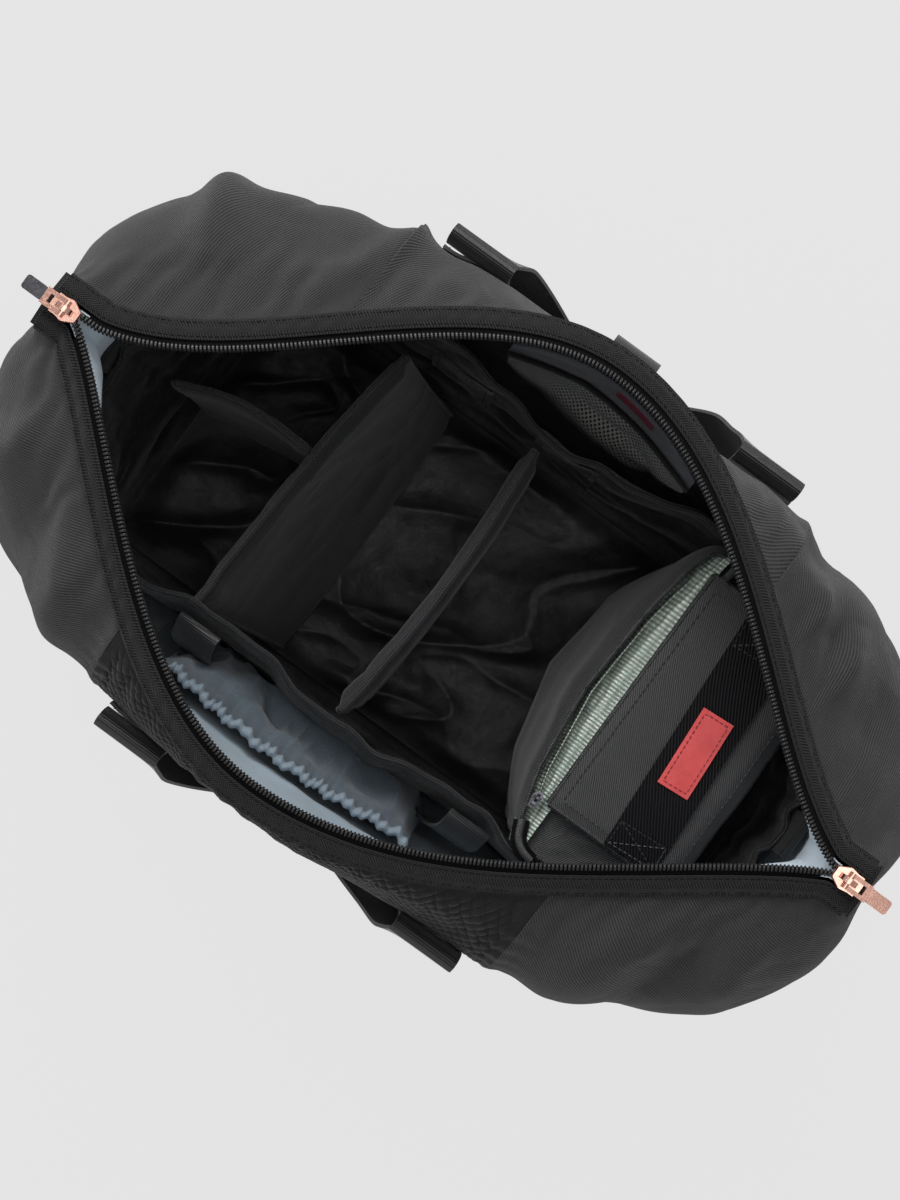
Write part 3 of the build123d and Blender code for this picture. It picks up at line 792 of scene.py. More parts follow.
def shell_height(points, v):
    """How far the outer fabric stands off its plain form; v runs from 0 below to 1 at the rim."""
    soft = 0.0042 * soft_noise(points * np.array([1, 1, 0.7]), 0.085, 11)
    fine = 0.0011 * creases(points, 0.040, 23)
    gathers = 0.0007 * np.sin(points[..., 0] * 410 + 2.5 * value_noise(points / 0.02, 31))
    away = np.abs(np.abs(points[..., 0]) - SEAM_X)
    calm = 0.25 + 0.75 * step(away, 0.004, 0.034)
    folds = fold_height(points) * (0.45 + 0.55 * calm)
    height = calm * (soft + fine) + folds + seam_height(points, away)
    return window(v, 0.0, 0.12, 0.90, 1.0) * height + window(v, 0.86, 0.95, 0.975, 1.0) * gathers


def emboss(u, v):
    """Rounded scales in a slanting lattice, from 0 in the grooves to 1."""
    turn, pitch = math.radians(38), 0.0047
    a = (u * math.cos(turn) + v * math.sin(turn)) / pitch
    b = (-u * math.sin(turn) + v * math.cos(turn)) / pitch
    fa, fb = a - np.floor(a) - 0.5, b - np.floor(b) - 0.5
    edge = np.maximum(np.abs(fa), np.abs(fb))
    dome = 1 - np.maximum(edge, np.hypot(fa, fb) * 0.80) * 2
    return np.clip(dome * 2.6, 0, 1) ** 0.75


def shell_grid(rows, count, facing):
    """The displaced grid of a shell panel and its height shares."""
    grid = np.swapaxes(spline(rows, count), 0, 1)
    v = np.broadcast_to(np.linspace(0, 1, count)[None], grid.shape[:2])
    return grid + normals_of(grid) * facing * shell_height(grid, v)[..., None], v


WALL_GRIDS = {}


def build_panels():
    xs = np.linspace(-SEAM_X, SEAM_X, 300)
    for side, word in SIDES:
        grid, v = shell_grid(panel_rows(side, xs), 260 if side < 0 else 200, side)
        material, slot = ("embossed", "embossed_fabric") if side < 0 else ("outer", "outer_twill")
        if side < 0:
            n = normals_of(grid)
            n *= np.sign((n[..., 1] * side).mean())
            u, w = np.moveaxis(cloth_coords(grid)[..., :2], -1, 0)
            inside = step(SEAM_X - np.abs(grid[..., 0]), 0.002, 0.006) * (1 - step(v, 0.975, 0.99))
            grid = grid + n * (0.0012 * emboss(u, w) * inside)[..., None]
        WALL_GRIDS[side] = grid
        name = word + "_panel"
        cloth_piece(name + "_fabric", grid, SHELL_THICK, material, "bag",
                    [name])
    for end, word in ENDS:
        grid, v = shell_grid(end_rows(end, 130), 200, -end)
        name = word + "_end_panel"
        cloth_piece(name + "_fabric", grid, SHELL_THICK, "outer", "bag",
                    [name])


def outline_ring(inset, z, count=240):
    """The lowest outline as a ring of points."""
    section = SECTIONS[0]
    halves = {}
    for side in (-1, 1):
        x = np.linspace(0, SEAM_X, 40)
        line = stacked(x, side * depth_at(section, x, side))
        line = np.concatenate([line, quarter(section, side, 120)[1:, :2]])
        halves[side] = evenly(line, count // 4 + 1)
    right = np.concatenate([halves[-1], halves[1][::-1][1:]])
    left = right[::-1] * np.array([-1, 1])
    ring = np.concatenate([right, left[1:-1]])
    ring = ring - unit(ring) * inset
    return stacked(ring[:, 0], ring[:, 1], z)


def lining_floor(grid):
    return 0.0010 + 0.0010 * creases(grid, 0.05, 5) * step(0.225 - np.abs(grid[..., 0]), 0, 0.02)


def base_sheet(node, inset, z, thick, rings, height, material):
    """A sheet that fills the lowest outline."""
    ring = outline_ring(inset, z)
    name = node.replace("_panel", "") + "_fabric"
    piece = dressed(slab_ring(name, ring, thick, rings, height), material, "bag", [node])


def build_base():
    base_sheet("base_panel", 0.007, 0.0016, 0.0014, 24, None, "outer")
    edge = outline_ring(0.0015, 0.0042)
    piping = tube("base_piping", np.concatenate([edge, edge[:2]]), (0.0017, 0.0017))
    dressed(piping, "tape", "bag")
    base_sheet("base_lining", 0.008, 0.0062, 0.0008, 40, lining_floor, "lining_dark")


# ---- the mouth: ribbon, tape and coil ----
def build_ribbon(side, word):
    xs = np.linspace(-TAPE_END_X, TAPE_END_X, 900)
    outs = np.linspace(BINDING_IN, BINDING_OUT, 9)
    share = np.linspace(0, 1, 9)
    grid = np.stack([rim_point(xs, side, out) for out in outs], 1)
    waves = 0.00035 * np.sin(xs * 600 + 2 * np.sin(xs * 90))
    grid[..., 2] += 0.0006 + 0.0009 * arch(share)[None] + waves[:, None] * share[None]
    cloth_piece(word + "_ribbon", grid, 0.0012, "binding", "bag")
    lines = [rim_point(xs, side, out, 0.00175) for out in (BINDING_IN + 0.0016, BINDING_OUT - 0.0014)]
    stitches(word + "_ribbon_stitches", lines, 0.0031, 0.00022, "tape", "bag")


def build_tape(side, word):
    """The zip's tape, and the ribbon facing that hangs below it inside."""
    xs = np.linspace(-0.224, 0.224, 800)
    grid = np.stack([rim_point(xs, side, out, -0.0010) for out in np.linspace(-0.0002, 0.0090, 7)], 1)
    cloth_piece(word + "_tape_fabric", grid, 0.0008, "tape", "bag",
                [word + "_zip_tape"])
    xs = np.linspace(-0.228, 0.228, 700)
    share = np.linspace(0, 1, 7)
    grid = np.stack([rim_point(xs, side, -0.0006, -0.0012)] * 7, 1)
    grid[..., 2] -= share * 0.011
    grid[..., 1] += side * 0.0012 * np.sin(share * 2.2)
    cloth_piece(word + "_facing_fabric", grid, 0.0007, "tape", "bag",
                [word + "_zip_facing"])


# One coil loop's section: (across toward the mouth, up, radius of the plastic)
COIL_PROFILE = [
    (-0.0014, -0.0010, 0.00045),
    (-0.0013, 0.0003, 0.00062),
    (-0.0006, 0.0011, 0.00062),
    (0.0004, 0.0013, 0.00062),
    (0.0013, 0.0007, 0.00072),
    (0.0014, -0.0006, 0.00066),
    (0.0006, -0.0010, 0.00045),
]


def build_coil(side, word):
    """The moulded coil: one loop of round plastic every COIL_PITCH, standing on the tape."""
    line = rim_point(np.linspace(-0.2285, 0.2285, 1600), side, 0.0)
    centres = evenly(line, int(np.linalg.norm(np.diff(line, axis=0), axis=1).sum() / COIL_PITCH))
    along = unit(np.gradient(centres, axis=0))
    inward = np.cross(along, UP)
    inward = unit(inward * np.sign((inward[:, 1] * -side).mean()))
    sides = 6
    angles = 2 * math.pi * np.arange(sides)[:, None] / sides
    total = len(COIL_PROFILE)
    rings, cloth = [], []
    for centre, way, into in zip(centres, along, inward):
        for k, (across, up, radius) in enumerate(COIL_PROFILE):
            at = centre + into * across + UP * (0.0004 + up) + way * 0.00045 * (k / (total - 1) - 0.5)
            turn = 2 * math.pi * k / total * 0.8 + 2.4
            normal = into * math.cos(turn) + UP * math.sin(turn)
            rings.append(at + (way * np.cos(angles) + normal * np.sin(angles)) * radius)
            cloth.append(stacked(np.arange(sides) * radius, across, 0.0))
    faces = [face for k in range(len(centres)) for face in capped(total, sides, k * total * sides)]
    coil = make_mesh(word + "_coil", np.concatenate(rings), faces, np.concatenate(cloth), 60)
    dressed(coil, "coil", "bag", [word + "_zip_coil"])


def build_mouth():
    for side, word in SIDES:
        build_ribbon(side, word)
        build_tape(side, word)
        build_coil(side, word)
    share = np.linspace(0, 1, 8)
    ys = np.linspace(-0.0150, 0.0150, 40)[:, None]
    for end, word in ENDS:
        z = RIM_Z - 0.0016 - 0.0030 * share**2 - 0.288 * np.maximum(np.abs(ys) - 0.004, 0)
        grid = stacked(end * np.linspace(0.2365, 0.2475, 8), ys, z)
        cloth_piece(word + "_end_ribbon", grid, 0.0013, "binding", "bag",
                    ["zip_end_tabs"] if end < 0 else [])


# ---- lining ----
LINING_SECTIONS = [
    (0.009, 0.226, 0.100, 5.0, 5.0),
    (0.060, 0.226, 0.112, 4.6, 4.6),
    (0.120, 0.226, 0.122, 4.0, 4.0),
    (0.200, 0.228, 0.129, 3.4, 3.0),
]
LINING_RIM = (0.0022, -0.0026)  # how far outside the coil line the lining is sewn, and how far below
LINING_END_X = 0.2305


def lining_end_rows(end, half=90):
    rows = []
    for section in LINING_SECTIONS:
        x = SEAM_X + (section[1] - SEAM_X) * np.linspace(0, 1, 500) ** 0.6
        parts = []
        for side in (-1, 1):
            line = evenly(stacked(x, side * outline_y(section, x)), half)
            parts.append(stacked(line[:, 0], line[:, 1], section[0]))
        row = round_end(parts, 1)
        row[:, 0] = end * (row[:, 0] - 0.007 * bump_at(row[:, 1], 0, 0.055) * step(section[0], 0.03, 0.16))
        rows.append(row)
    parts = []
    for side in (-1, 1):
        x = np.linspace(SEAM_X, LINING_END_X, 300)
        line = rim_point(x * end, side, *LINING_RIM)
        line[:, 0] = x
        parts.append(evenly(np.concatenate([line, [[LINING_END_X, 0.0, line[-1, 2]]]]), half))
    rows = shouldered(rows, round_end(parts, end), 0.80, 0.60)
    rows[-2][:, 0] -= end * 0.011 * bump_at(rows[-2][:, 1], 0, 0.045)
    return rows


def lining_piece(name, rows, wrinkles, material):
    grid = np.swapaxes(spline(rows, 120), 0, 1)
    fade = window(np.linspace(0, 1, 120)[None], 0, 0.1, 0.85, 1.0)
    grid = grid + normals_of(grid) * (fade * wrinkles(grid))[..., None]
    cloth_piece(name + "_fabric", grid, 0.0008, material, "bag", [name])


def build_lining():
    xs = np.linspace(-SEAM_X, SEAM_X, 200)
    for side, word in SIDES:
        rows = [stacked(xs, side * outline_y(section, xs), section[0]) for section in LINING_SECTIONS]
        rows = shouldered(rows, rim_point(xs, side, *LINING_RIM), 0.80, 0.60)
        lining_piece(word + "_lining", rows,
                     lambda grid: 0.0022 * creases(grid, 0.055, 41) + 0.0016 * soft_noise(grid, 0.03, 47),
                     "lining" if side < 0 else "lining_dark")
    for end, word in ENDS:
        # The end linings take the lighter copy of the lining colour, painted light where the tips catch the
        # lamps.
        lining_piece(word + "_end_lining", lining_end_rows(end),
                     lambda grid: 0.0022 * creases(grid, 0.05, 43),
                     "lining_tip")


# ---- the two lining pockets ----
def build_elastic_pocket():
    """The front pocket: gathered on elastic at its top, slack below."""
    nu, nv = 460, 90
    low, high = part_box("elastic_pocket")
    xs = np.linspace(low.x, high.x, nu)
    s = np.linspace(0, 1, nu)[:, None]
    v = np.linspace(0, 1, nv)[None]
    phase = (xs * 2 * math.pi / 0.0050 + 2.6 * np.sin(xs * 83) + 1.5 * np.sin(xs * 197))[:, None]
    top_y = (0.1225 - 0.0070 * ((xs + 0.022) / 0.078) ** 2)[:, None]
    foot_y = 0.106
    belly = 0.0112 * arch(v**1.6, 1.1) * arch(0.02 + 0.96 * s, 0.6)
    y = foot_y * (1 - v) + top_y * v - belly + 0.006 * (1 - window(s, 0, 0.06, 0.94, 1))
    points = stacked(xs[:, None], -y, low.z + (ORG_TOP + 0.004 - low.z) * v)
    points[..., 1] += 0.0007 * np.sin(phase) * np.exp(-(1 - v) * 16.0)
    points[..., 1] += 0.0011 * np.sin(phase * 0.31 + 1) * np.exp(-(1 - v) * 5.0)
    points[..., 2] += 0.0004 * np.cos(phase * 0.5 + 0.7) * step(v, 0.93, 1.0)
    points[..., 1] += 0.0100 * creases(points, 0.036, 61) * window(v, 0, 0.1, 0.7, 1.0)
    # The pocket's body takes the darkened copy of the lining colour, painted shade.
    cloth_piece("elastic_pocket_fabric", points, 0.0009, "pocket", "bag",
                ["elastic_pocket"])

    turn = 2 * math.pi * np.arange(9) / 9
    hem = np.stack([points[:, -1]] * 9, 1)
    hem[..., 1] += np.cos(turn) * (0.0027 + 0.0005 * np.sin(phase + 1.1))
    hem[..., 2] += 0.0030 + np.sin(turn) * (0.0034 + 0.0005 * np.sin(phase))
    along = np.concatenate([[0], np.cumsum(np.linalg.norm(np.diff(hem, axis=0), axis=2).mean(axis=1))])
    cloth = stacked(along[:, None], np.arange(9) * 0.001, 0.0)
    obj = make_mesh("elastic_pocket_hem_fabric", hem.reshape(-1, 3), capped(nu, 9), cloth, 60)
    # The hem takes the darkened copy of the lining colour, painted shade.
    dressed(obj, "hem", "bag", ["elastic_pocket_hem"])


def build_mesh_pocket():
    """The back pocket: black mesh below a lining band with a zip, and a small label."""
    low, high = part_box("mesh_pocket")
    nu, nv = 150, 90
    xs = np.linspace(low.x + 0.028, high.x - 0.034, nu)
    v = np.linspace(0, 1, nv)[None]
    ends = arch(0.02 + 0.96 * np.linspace(0, 1, nu), 0.6)[:, None]
    top_y = rim_y(xs, 1) - 0.0020
    upper_y = (top_y - 0.004)[:, None]
    foot_y = (0.129 * (1 - (np.abs(xs) / 0.228) ** 3.4) ** (1 / 3.0) - 0.006)[:, None]
    y = foot_y * (1 - v) + upper_y * v - 0.0135 * arch(v**1.25, 1.2) * ends
    top = rim_point(xs, 1, -0.0012, -0.012)
    band_low = top[:, 2:3] - (top[:, 2:3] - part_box("mesh_pocket_zip")[0].z) * ends
    points = stacked(xs[:, None], y, low.z + (band_low - low.z) * v)
    points[..., 1] += 0.003 * creases(points, 0.06, 71) * window(v, 0, 0.1, 0.85, 1)
    cloth_piece("mesh_pocket_fabric", points, 0.0008, "mesh", "bag",
                ["mesh_pocket"])

    nv = 40
    v = np.linspace(0, 1, nv)[None]
    band = stacked(xs[:, None], upper_y * (1 - v) + top[:, 1:2] * v, band_low + (top[:, 2:3] - band_low) * v)
    band[..., 1] += 0.0012 * creases(band, 0.05, 77) * arch(v)
    cloth_piece("mesh_pocket_band", band, 0.0009, "lining_dark", "bag",
                ["mesh_pocket_zip"])
    line = band[:, int(0.26 * (nv - 1)), None]
    for name, width, out, material in (("tape", 0.0120, 0.0011, "tape"), ("coil", 0.0042, 0.0019, "coil")):
        grid = line + np.linspace(-width / 2, width / 2, 7)[:, None] * UP
        grid[..., 1] -= out
        if material == "coil":
            grid[..., 1] -= 0.0007 * arch(np.linspace(0, 1, 7))
        cloth_piece("mesh_pocket_zip_" + name, grid, 0.0008, material, "bag")

    low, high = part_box("lining_label")
    us, vs = np.linspace(low.x, high.x, 30), np.linspace(high.z, low.z, 18)
    y = np.interp(us, xs, top_y + 0.002)[:, None]
    grid = stacked(us[:, None], y - 0.0025 - 0.0012 * np.sin(np.linspace(0, 3, 18)), vs)
    cloth_piece("lining_label_fabric", grid, 0.0007, "label", "bag",
                ["lining_label"])


# ---- the nylon organiser ----
ORG_LEFT, ORG_RIGHT = ORG_LOW.x + 0.0008, ORG_HIGH.x - 0.0008
ORG_DEEP = ORG_HIGH.y - 0.0008
ORG_FLOOR = 0.0086
WALL_MIDDLE_ROW = 60
# Each wall: from corner, to corner, columns, wave seed and outward belly
ORG_WALLS = {
    "front": ((ORG_LEFT, -ORG_DEEP), (ORG_RIGHT, -ORG_DEEP), 300, 0.4, 0.0100),
    "right": ((ORG_RIGHT, -ORG_DEEP), (ORG_RIGHT, ORG_DEEP), 150, 2.0, 0.0),
    "back": ((ORG_RIGHT, ORG_DEEP), (ORG_LEFT, ORG_DEEP), 300, 3.1, 0.0060),
    "left": ((ORG_LEFT, ORG_DEEP), (ORG_LEFT, -ORG_DEEP), 150, 5.2, 0.0),
}
# How far the top edge sags out of its straight line: (share along the wall, outward distance)
EDGE_SAG = {
    "front": [(0, 0), (0.137, 0.001), (0.210, -0.006), (0.309, -0.008), (0.425, 0.000), (0.527, 0.001),
              (0.645, -0.005), (0.712, -0.008), (0.758, 0.000), (0.81, 0.003), (0.9, 0.002), (1, 0)],
    "back": [(0, 0.002), (0.10, 0.014), (0.17, 0.019), (0.266, 0.019), (0.35, 0.011), (0.446, 0.006),
             (0.503, 0.003), (0.548, 0.005), (0.618, 0.011), (0.696, 0.015), (0.817, 0.010), (1, 0)],
    "right": [(0, 0), (0.2, 0.010), (0.35, 0.020), (0.5, 0.026), (0.65, 0.020), (0.8, 0.010), (1, 0)],
    "left": [(0, 0), (0.2, 0.010), (0.35, 0.020), (0.5, 0.026), (0.65, 0.022), (0.8, 0.011), (1, 0)],
}
ORGANISER_GRIDS = {}


def organiser_wall(wall, up=130):
    """One wall's grid: a straight foot, a wavy top edge, and slack creased cloth between."""
    a, b, count, seed, belly = ORG_WALLS[wall]
    a, along = np.array(a), np.array(b) - np.array(a)
    out = np.array([along[1], -along[0]]) / np.linalg.norm(along)
    s = np.linspace(0, 1, count)
    hold = arch(s, 0.6)
    kernel = np.hanning(15) / np.hanning(15).sum()
    fine = np.linspace(-0.1, 1.1, 361)
    rough_sag = np.interp(fine, *zip(*EDGE_SAG[wall]))
    sag = np.interp(s, fine[7:-7], np.convolve(rough_sag, kernel, mode="valid"))
    wave = 0.0011 * np.sin(s * 47 + 2 * seed) + 0.0007 * np.sin(s * 83 + seed)
    straight = a + along * s[:, None]
    edge = straight + out * (sag + wave * hold)[:, None]
    z = ORG_TOP - 0.002 + hold * (0.0026 * np.sin(s * 17 + seed) + 0.0012 * np.sin(s * 41))
    top = stacked(edge[:, 0], edge[:, 1], z)[:, None]
    foot = stacked(straight[:, 0], straight[:, 1], ORG_FLOOR)[:, None]
    v = np.linspace(0, 1, up)[None]
    grid = foot * (1 - v[..., None]) + top * v[..., None]
    folds = 0.0030 * creases(grid, 0.06, 81) + 0.0016 * soft_noise(grid, 0.03, 83) + belly
    return grid + np.array([*out, 0.0]) * (folds * arch(s[:, None], 0.5) * arch(v, 0.7))[..., None]


def organiser_wall_y(word, x, z):
    """The y of the organiser's front or back wall at each x and z."""
    grid = ORGANISER_GRIDS[word]
    columns = np.argmin(np.abs(grid[:, WALL_MIDDLE_ROW, 0][:, None] - np.ravel(x)[None]), axis=0)
    found = [np.interp(h, grid[c, :, 2], grid[c, :, 1]) for c, h in zip(columns, np.ravel(z))]
    return np.reshape(found, np.shape(x))


def build_organiser():
    edge = []
    for wall in ORG_WALLS:
        grid = ORGANISER_GRIDS[wall] = organiser_wall(wall)
        node = f"organiser_{wall}_wall"
        cloth_piece(node + "_fabric", grid, 0.0016, "nylon", "organiser",
                    [node])
        edge.append(grid[:-1, -1])
    edge = evenly(np.concatenate(edge + [edge[0][:1]]), 900)
    binding = tube("organiser_binding_tape", edge + UP * 0.0004, (0.0017, 0.0042), 12)
    dressed(binding, "webbing", "organiser", ["organiser_binding"])

    gx, gy = plane(np.linspace(ORG_LEFT + 0.001, ORG_RIGHT - 0.001, 340),
                   np.linspace(-ORG_DEEP + 0.001, ORG_DEEP - 0.001, 170))
    hold = window(gx, ORG_LEFT, ORG_LEFT + 0.02, ORG_RIGHT - 0.02, ORG_RIGHT)
    hold = hold * window(gy, -ORG_DEEP, -ORG_DEEP + 0.015, ORG_DEEP - 0.015, ORG_DEEP)
    turned = stacked((gx + 0.7 * gy) * 0.55, (gy - 0.6 * gx) * 1.1, 0.0)
    folds = 0.0105 * np.clip(0.5 + 0.5 * creases(turned, 0.058, 91), 0, 1.6) ** 1.5
    folds = folds + 0.0005 * soft_noise(stacked(gx, gy, 0.0), 0.015, 95)
    floor = stacked(gx, gy, ORG_FLOOR + 0.0006 + hold * folds)
    cloth_piece("organiser_floor_fabric", floor, 0.0014, "nylon", "organiser",
                ["organiser_floor"])
    build_organiser_straps()


# The end grips' loop, (outward, z), and the front strap's path, (x, how far out of the wall, z)
GRIP_LOOP = [(0.0015, 0.100), (0.008, 0.130), (0.0150, 0.168), (0.0175, 0.192), (0.0140, 0.207),
             (0.0070, 0.209), (0.0028, 0.198), (0.0022, 0.180)]
FRONT_STRAP = [
    (-0.098, 0.0010, 0.1925), (-0.098, 0.0060, 0.1915), (-0.097, 0.0130, 0.1850), (-0.094, 0.0175, 0.1660),
    (-0.086, 0.0180, 0.1340), (-0.060, 0.0180, 0.1120), (-0.010, 0.0180, 0.1040), (0.035, 0.0180, 0.1100),
    (0.060, 0.0180, 0.1300), (0.070, 0.0175, 0.1600), (0.075, 0.0130, 0.1830), (0.076, 0.0060, 0.1905),
    (0.076, 0.0010, 0.1915),
]


def build_organiser_straps():
    for end, word in ENDS:
        x0 = ORG_LEFT if end < 0 else ORG_RIGHT
        centre = [(x0 + end * (0.45 * out + 0.025 * z / 0.19), 0.002 * end, z) for out, z in GRIP_LOOP]
        strip(f"organiser_{word}_handle", centre, [(0, 1, 0)] * len(centre), 0.025, 0.0017, "organiser",
              stands_for=["organiser_end_handles"] if end < 0 else [])
    path = np.array([(x, -ORG_DEEP - out, z) for x, out, z in FRONT_STRAP])
    wide = unit(np.cross(np.gradient(path, axis=0), [0, 1.0, 0]))
    strip("organiser_front_webbing", path, wide, 0.025, 0.0017, "organiser",
          stands_for=["organiser_front_strap"], count=220)


# ---- padded dividers ----
DIVIDER_LOW, DIVIDER_HIGH, DIVIDER_DEEP = 0.0125, 0.1900, 0.0850
CROSS_HIGH = 0.186


def pad(name, grid, thick, body, node, edge=0.30, material="padded"):
    """A padded panel: full in the middle, pinched to its bound edge."""
    nu, nv = grid.shape[:2]
    s = np.linspace(0, 1, nu)[:, None]
    v = np.linspace(0, 1, nv)[None]
    near = np.minimum(np.minimum(s, 1 - s) * nu / nv, np.minimum(v, 1 - v))
    full = edge + (1 - edge) * step(near, 0, 0.055)
    swell = 1 + 0.10 * soft_noise(grid, 0.05, 111)
    grid = grid + normals_of(grid) * (0.0013 * creases(grid, 0.06, 113))[..., None]
    obj = dressed(slab(name, grid, thick * full * swell), material, body, [node])
    return grid


def divider(word, grid, thick, radius=0.0016):
    """A padded divider with a bound edge all round it."""
    body = word + "_divider"
    ring = evenly(round_edge(pad(f"divider_{word}_pad", grid, thick, body, "divider_" + word)), 420)
    bound = tube(f"divider_{word}_seam", ring, (radius, radius * 1.5), 8, np.array([1.0, 0.05, 0.02]))
    dressed(bound, "padded", body)


def divider_grid(bottom, top, count=150):
    """A panel across the organiser; bottom and top give its x for each share of its depth."""
    share = np.linspace(-1, 1, count)[:, None]
    v = np.linspace(0, 1, count)[None]
    x = bottom(share) * (1 - v) + top(share) * v
    return stacked(x, share * DIVIDER_DEEP, DIVIDER_LOW + (DIVIDER_HIGH - DIVIDER_LOW) * v)


def divider_tabs(word, x0):
    """A divider's two hook-and-loop tabs, one on each long wall of the organiser."""
    gx, gz = plane(np.linspace(x0, x0 + 0.040, 30), np.linspace(0.060, 0.130, 40))
    for side, wall in SIDES:
        name = f"divider_{word}_{wall}_tab"
        grid = stacked(gx, organiser_wall_y(wall, gx, gz) - side * 0.0024, gz)
        cloth_piece(name, grid, 0.0014, "nylon", word + "_divider",
                    [f"divider_{word}_tabs"] if side < 0 else [])
        ring = round_edge(grid[3:-3, 3:-3]) - np.array([0, side * 0.0008, 0])
        stitches(name + "_stitches", [ring], 0.0032, 0.0003, "thread", word + "_divider")


def build_dividers():
    grid = divider_grid(
        lambda s: -0.066 + 0.003 * np.cos(s * 1.5),
        lambda s: -0.1005 + 0.0065 * s - 0.004 * np.cos(s * 1.5),
    )
    grid[..., 0] -= 0.004 * arch(np.linspace(0, 1, 150))[None]
    grid[..., 2] += 0.0022 * np.sin(grid[..., 1] * 42 + 0.5) * step(grid[..., 2], 0.15, 0.19)
    divider("left", grid, 0.0095)

    grid = divider_grid(
        lambda s: -0.010 + 0.004 * np.cos(s * 1.6),
        lambda s: -0.0122 + 0.0015 * s + 0.0055 * np.cos(s * 1.57),
    )
    grid[..., 2] += 0.0020 * np.sin(grid[..., 1] * 36 + 2.2) * step(grid[..., 2], 0.15, 0.19)
    divider("centre", grid, 0.0105)

    v = np.linspace(0, 1, 120)[None]
    s = np.linspace(0, 1, 110)[:, None]
    z = DIVIDER_LOW + (CROSS_HIGH - DIVIDER_LOW) * v
    x = (ORG_LEFT + 0.0030) * (1 - s) + (-0.0735 - 0.0345 * z / 0.19) * s
    y = 0.0025 + 0.013 * s**0.8 + 0.006 * arch(s) * v
    divider("cross", stacked(x, y, z), 0.0062, 0.0013)
    divider_tabs("left", -0.0880)
    divider_tabs("centre", -0.0150)


# ---- the insulated pouch ----
POUCH_CENTRE = np.array([0.129, 0, 0])
POUCH_DEEP = POUCH_HIGH.y + 0.0065
POUCH_LEFT = POUCH_LOW.x + 0.0010
LID_LEFT = LID_LOW.x
LID_RIGHT = LID_HIGH.x + 0.0035
LID_Z = (LID_LOW.z + LID_HIGH.z) / 2
LID_FRONT, LID_BACK = -0.0590, 0.0750
# How far the slack left wall bellies out of its straight line: (height, distance)
POUCH_BULGE = [(0.009, 0.012), (0.05, 0.025), (0.10, 0.030), (0.15, 0.0250), (0.185, 0.0182), (0.200, 0.0143)]
SLIT_END, SLIT_WIDEST = 0.0872, 0.014
# The slack foil in the slit: (share of the way from the left wall to the lid, drop)
FOIL_FOLD = [(1.0, -0.0006), (0.80, -0.0022), (0.62, -0.0055), (0.52, -0.0060), (0.42, -0.0105),
             (0.20, -0.0140), (0.02, -0.0200), (-0.10, -0.0330)]
# The zip's ends, where they show beside the slit
ZIP_ENDS = {
    "front": [(0.1120, -0.0885, 0.2030), (0.1060, -0.0870, 0.2036), (0.1005, -0.0830, 0.2038),
              (0.0960, -0.0740, 0.2030)],
    "back": [(0.1120, 0.0900, 0.2032), (0.1095, 0.0850, 0.2040), (0.1080, 0.0780, 0.2040),
             (0.1070, 0.0700, 0.2034)],
}


def slit_share(y):
    """How open the pouch's slit is along its length, from 0 at its ends to 1."""
    reach = np.where(y > SLIT_WIDEST, SLIT_END - SLIT_WIDEST, SLIT_END + SLIT_WIDEST)
    return np.clip(1 - (np.abs(y - SLIT_WIDEST) / reach) ** 1.9, 0, 1)


def pouch_ring(z, count, inset):
    """The pouch's outline at a height: a box with round corners and a slack left wall."""
    t = np.linspace(0, 2 * math.pi, count * 3, endpoint=False)
    c, s = np.cos(t), np.sin(t)
    middle = (POUCH_LEFT + POUCH_HIGH.x) / 2
    half, deep = (POUCH_HIGH.x - POUCH_LEFT) / 2 - inset, POUCH_DEEP - inset
    x = middle + half * np.sign(c) * np.abs(c) ** (2 / 11.0)
    y = deep * np.sign(s) * np.abs(s) ** (2 / 16.0)
    bulge = np.interp(z, *zip(*POUCH_BULGE)) * np.clip(1 - np.abs((y - 0.008) / deep) ** 2.2, 0, 1)
    ring = stacked(x - bulge * step(middle - x, 0, half), y, z)
    return evenly(np.concatenate([ring, ring[:1]]), count + 1)[:-1]


def wall_ring(name, heights, count, inset, thick, wrinkle, seed):
    """A closed wall round a ring, with thickness, open above and below."""
    rings = np.array([pouch_ring(z, count, inset) for z in heights])
    away = unit((rings - POUCH_CENTRE) * np.array([1, 1, 0]))
    v = np.linspace(0, 1, len(heights))[:, None]
    hold = step(v, 0, 0.1) * (1 - step(v, 0.93, 1.0) * 0.6)
    rings = rings + away * (wrinkle * creases(rings, 0.07, seed) * hold)[..., None]
    half = away * (thick / 2 * np.interp(v, [0, 0.04, 0.9, 1.0], [0.5, 1.0, 1.0, 0.45]))[..., None]
    loop = np.concatenate([rings + half, (rings - half)[::-1]])
    ups = np.concatenate([heights, heights[::-1]])
    cloth = stacked(lengths_along(rings[0])[None], ups[:, None], 0.0)
    faces = ring_faces(*loop.shape[:2], closed=True)
    return make_mesh(name, loop.reshape(-1, 3), faces, cloth.reshape(-1, 3)), rings


def reach_back(obj):
    """Lean the slack top of a pouch piece out towards the bag's back."""
    points = np.empty(len(obj.data.vertices) * 3)
    obj.data.vertices.foreach_get("co", points)
    points = points.reshape(-1, 3)
    points[:, 1] += 0.0135 * step(points[:, 1], 0.030, 0.089) * step(points[:, 2], 0.08, 0.185)
    obj.data.vertices.foreach_set("co", points.ravel())
    obj.data.update()


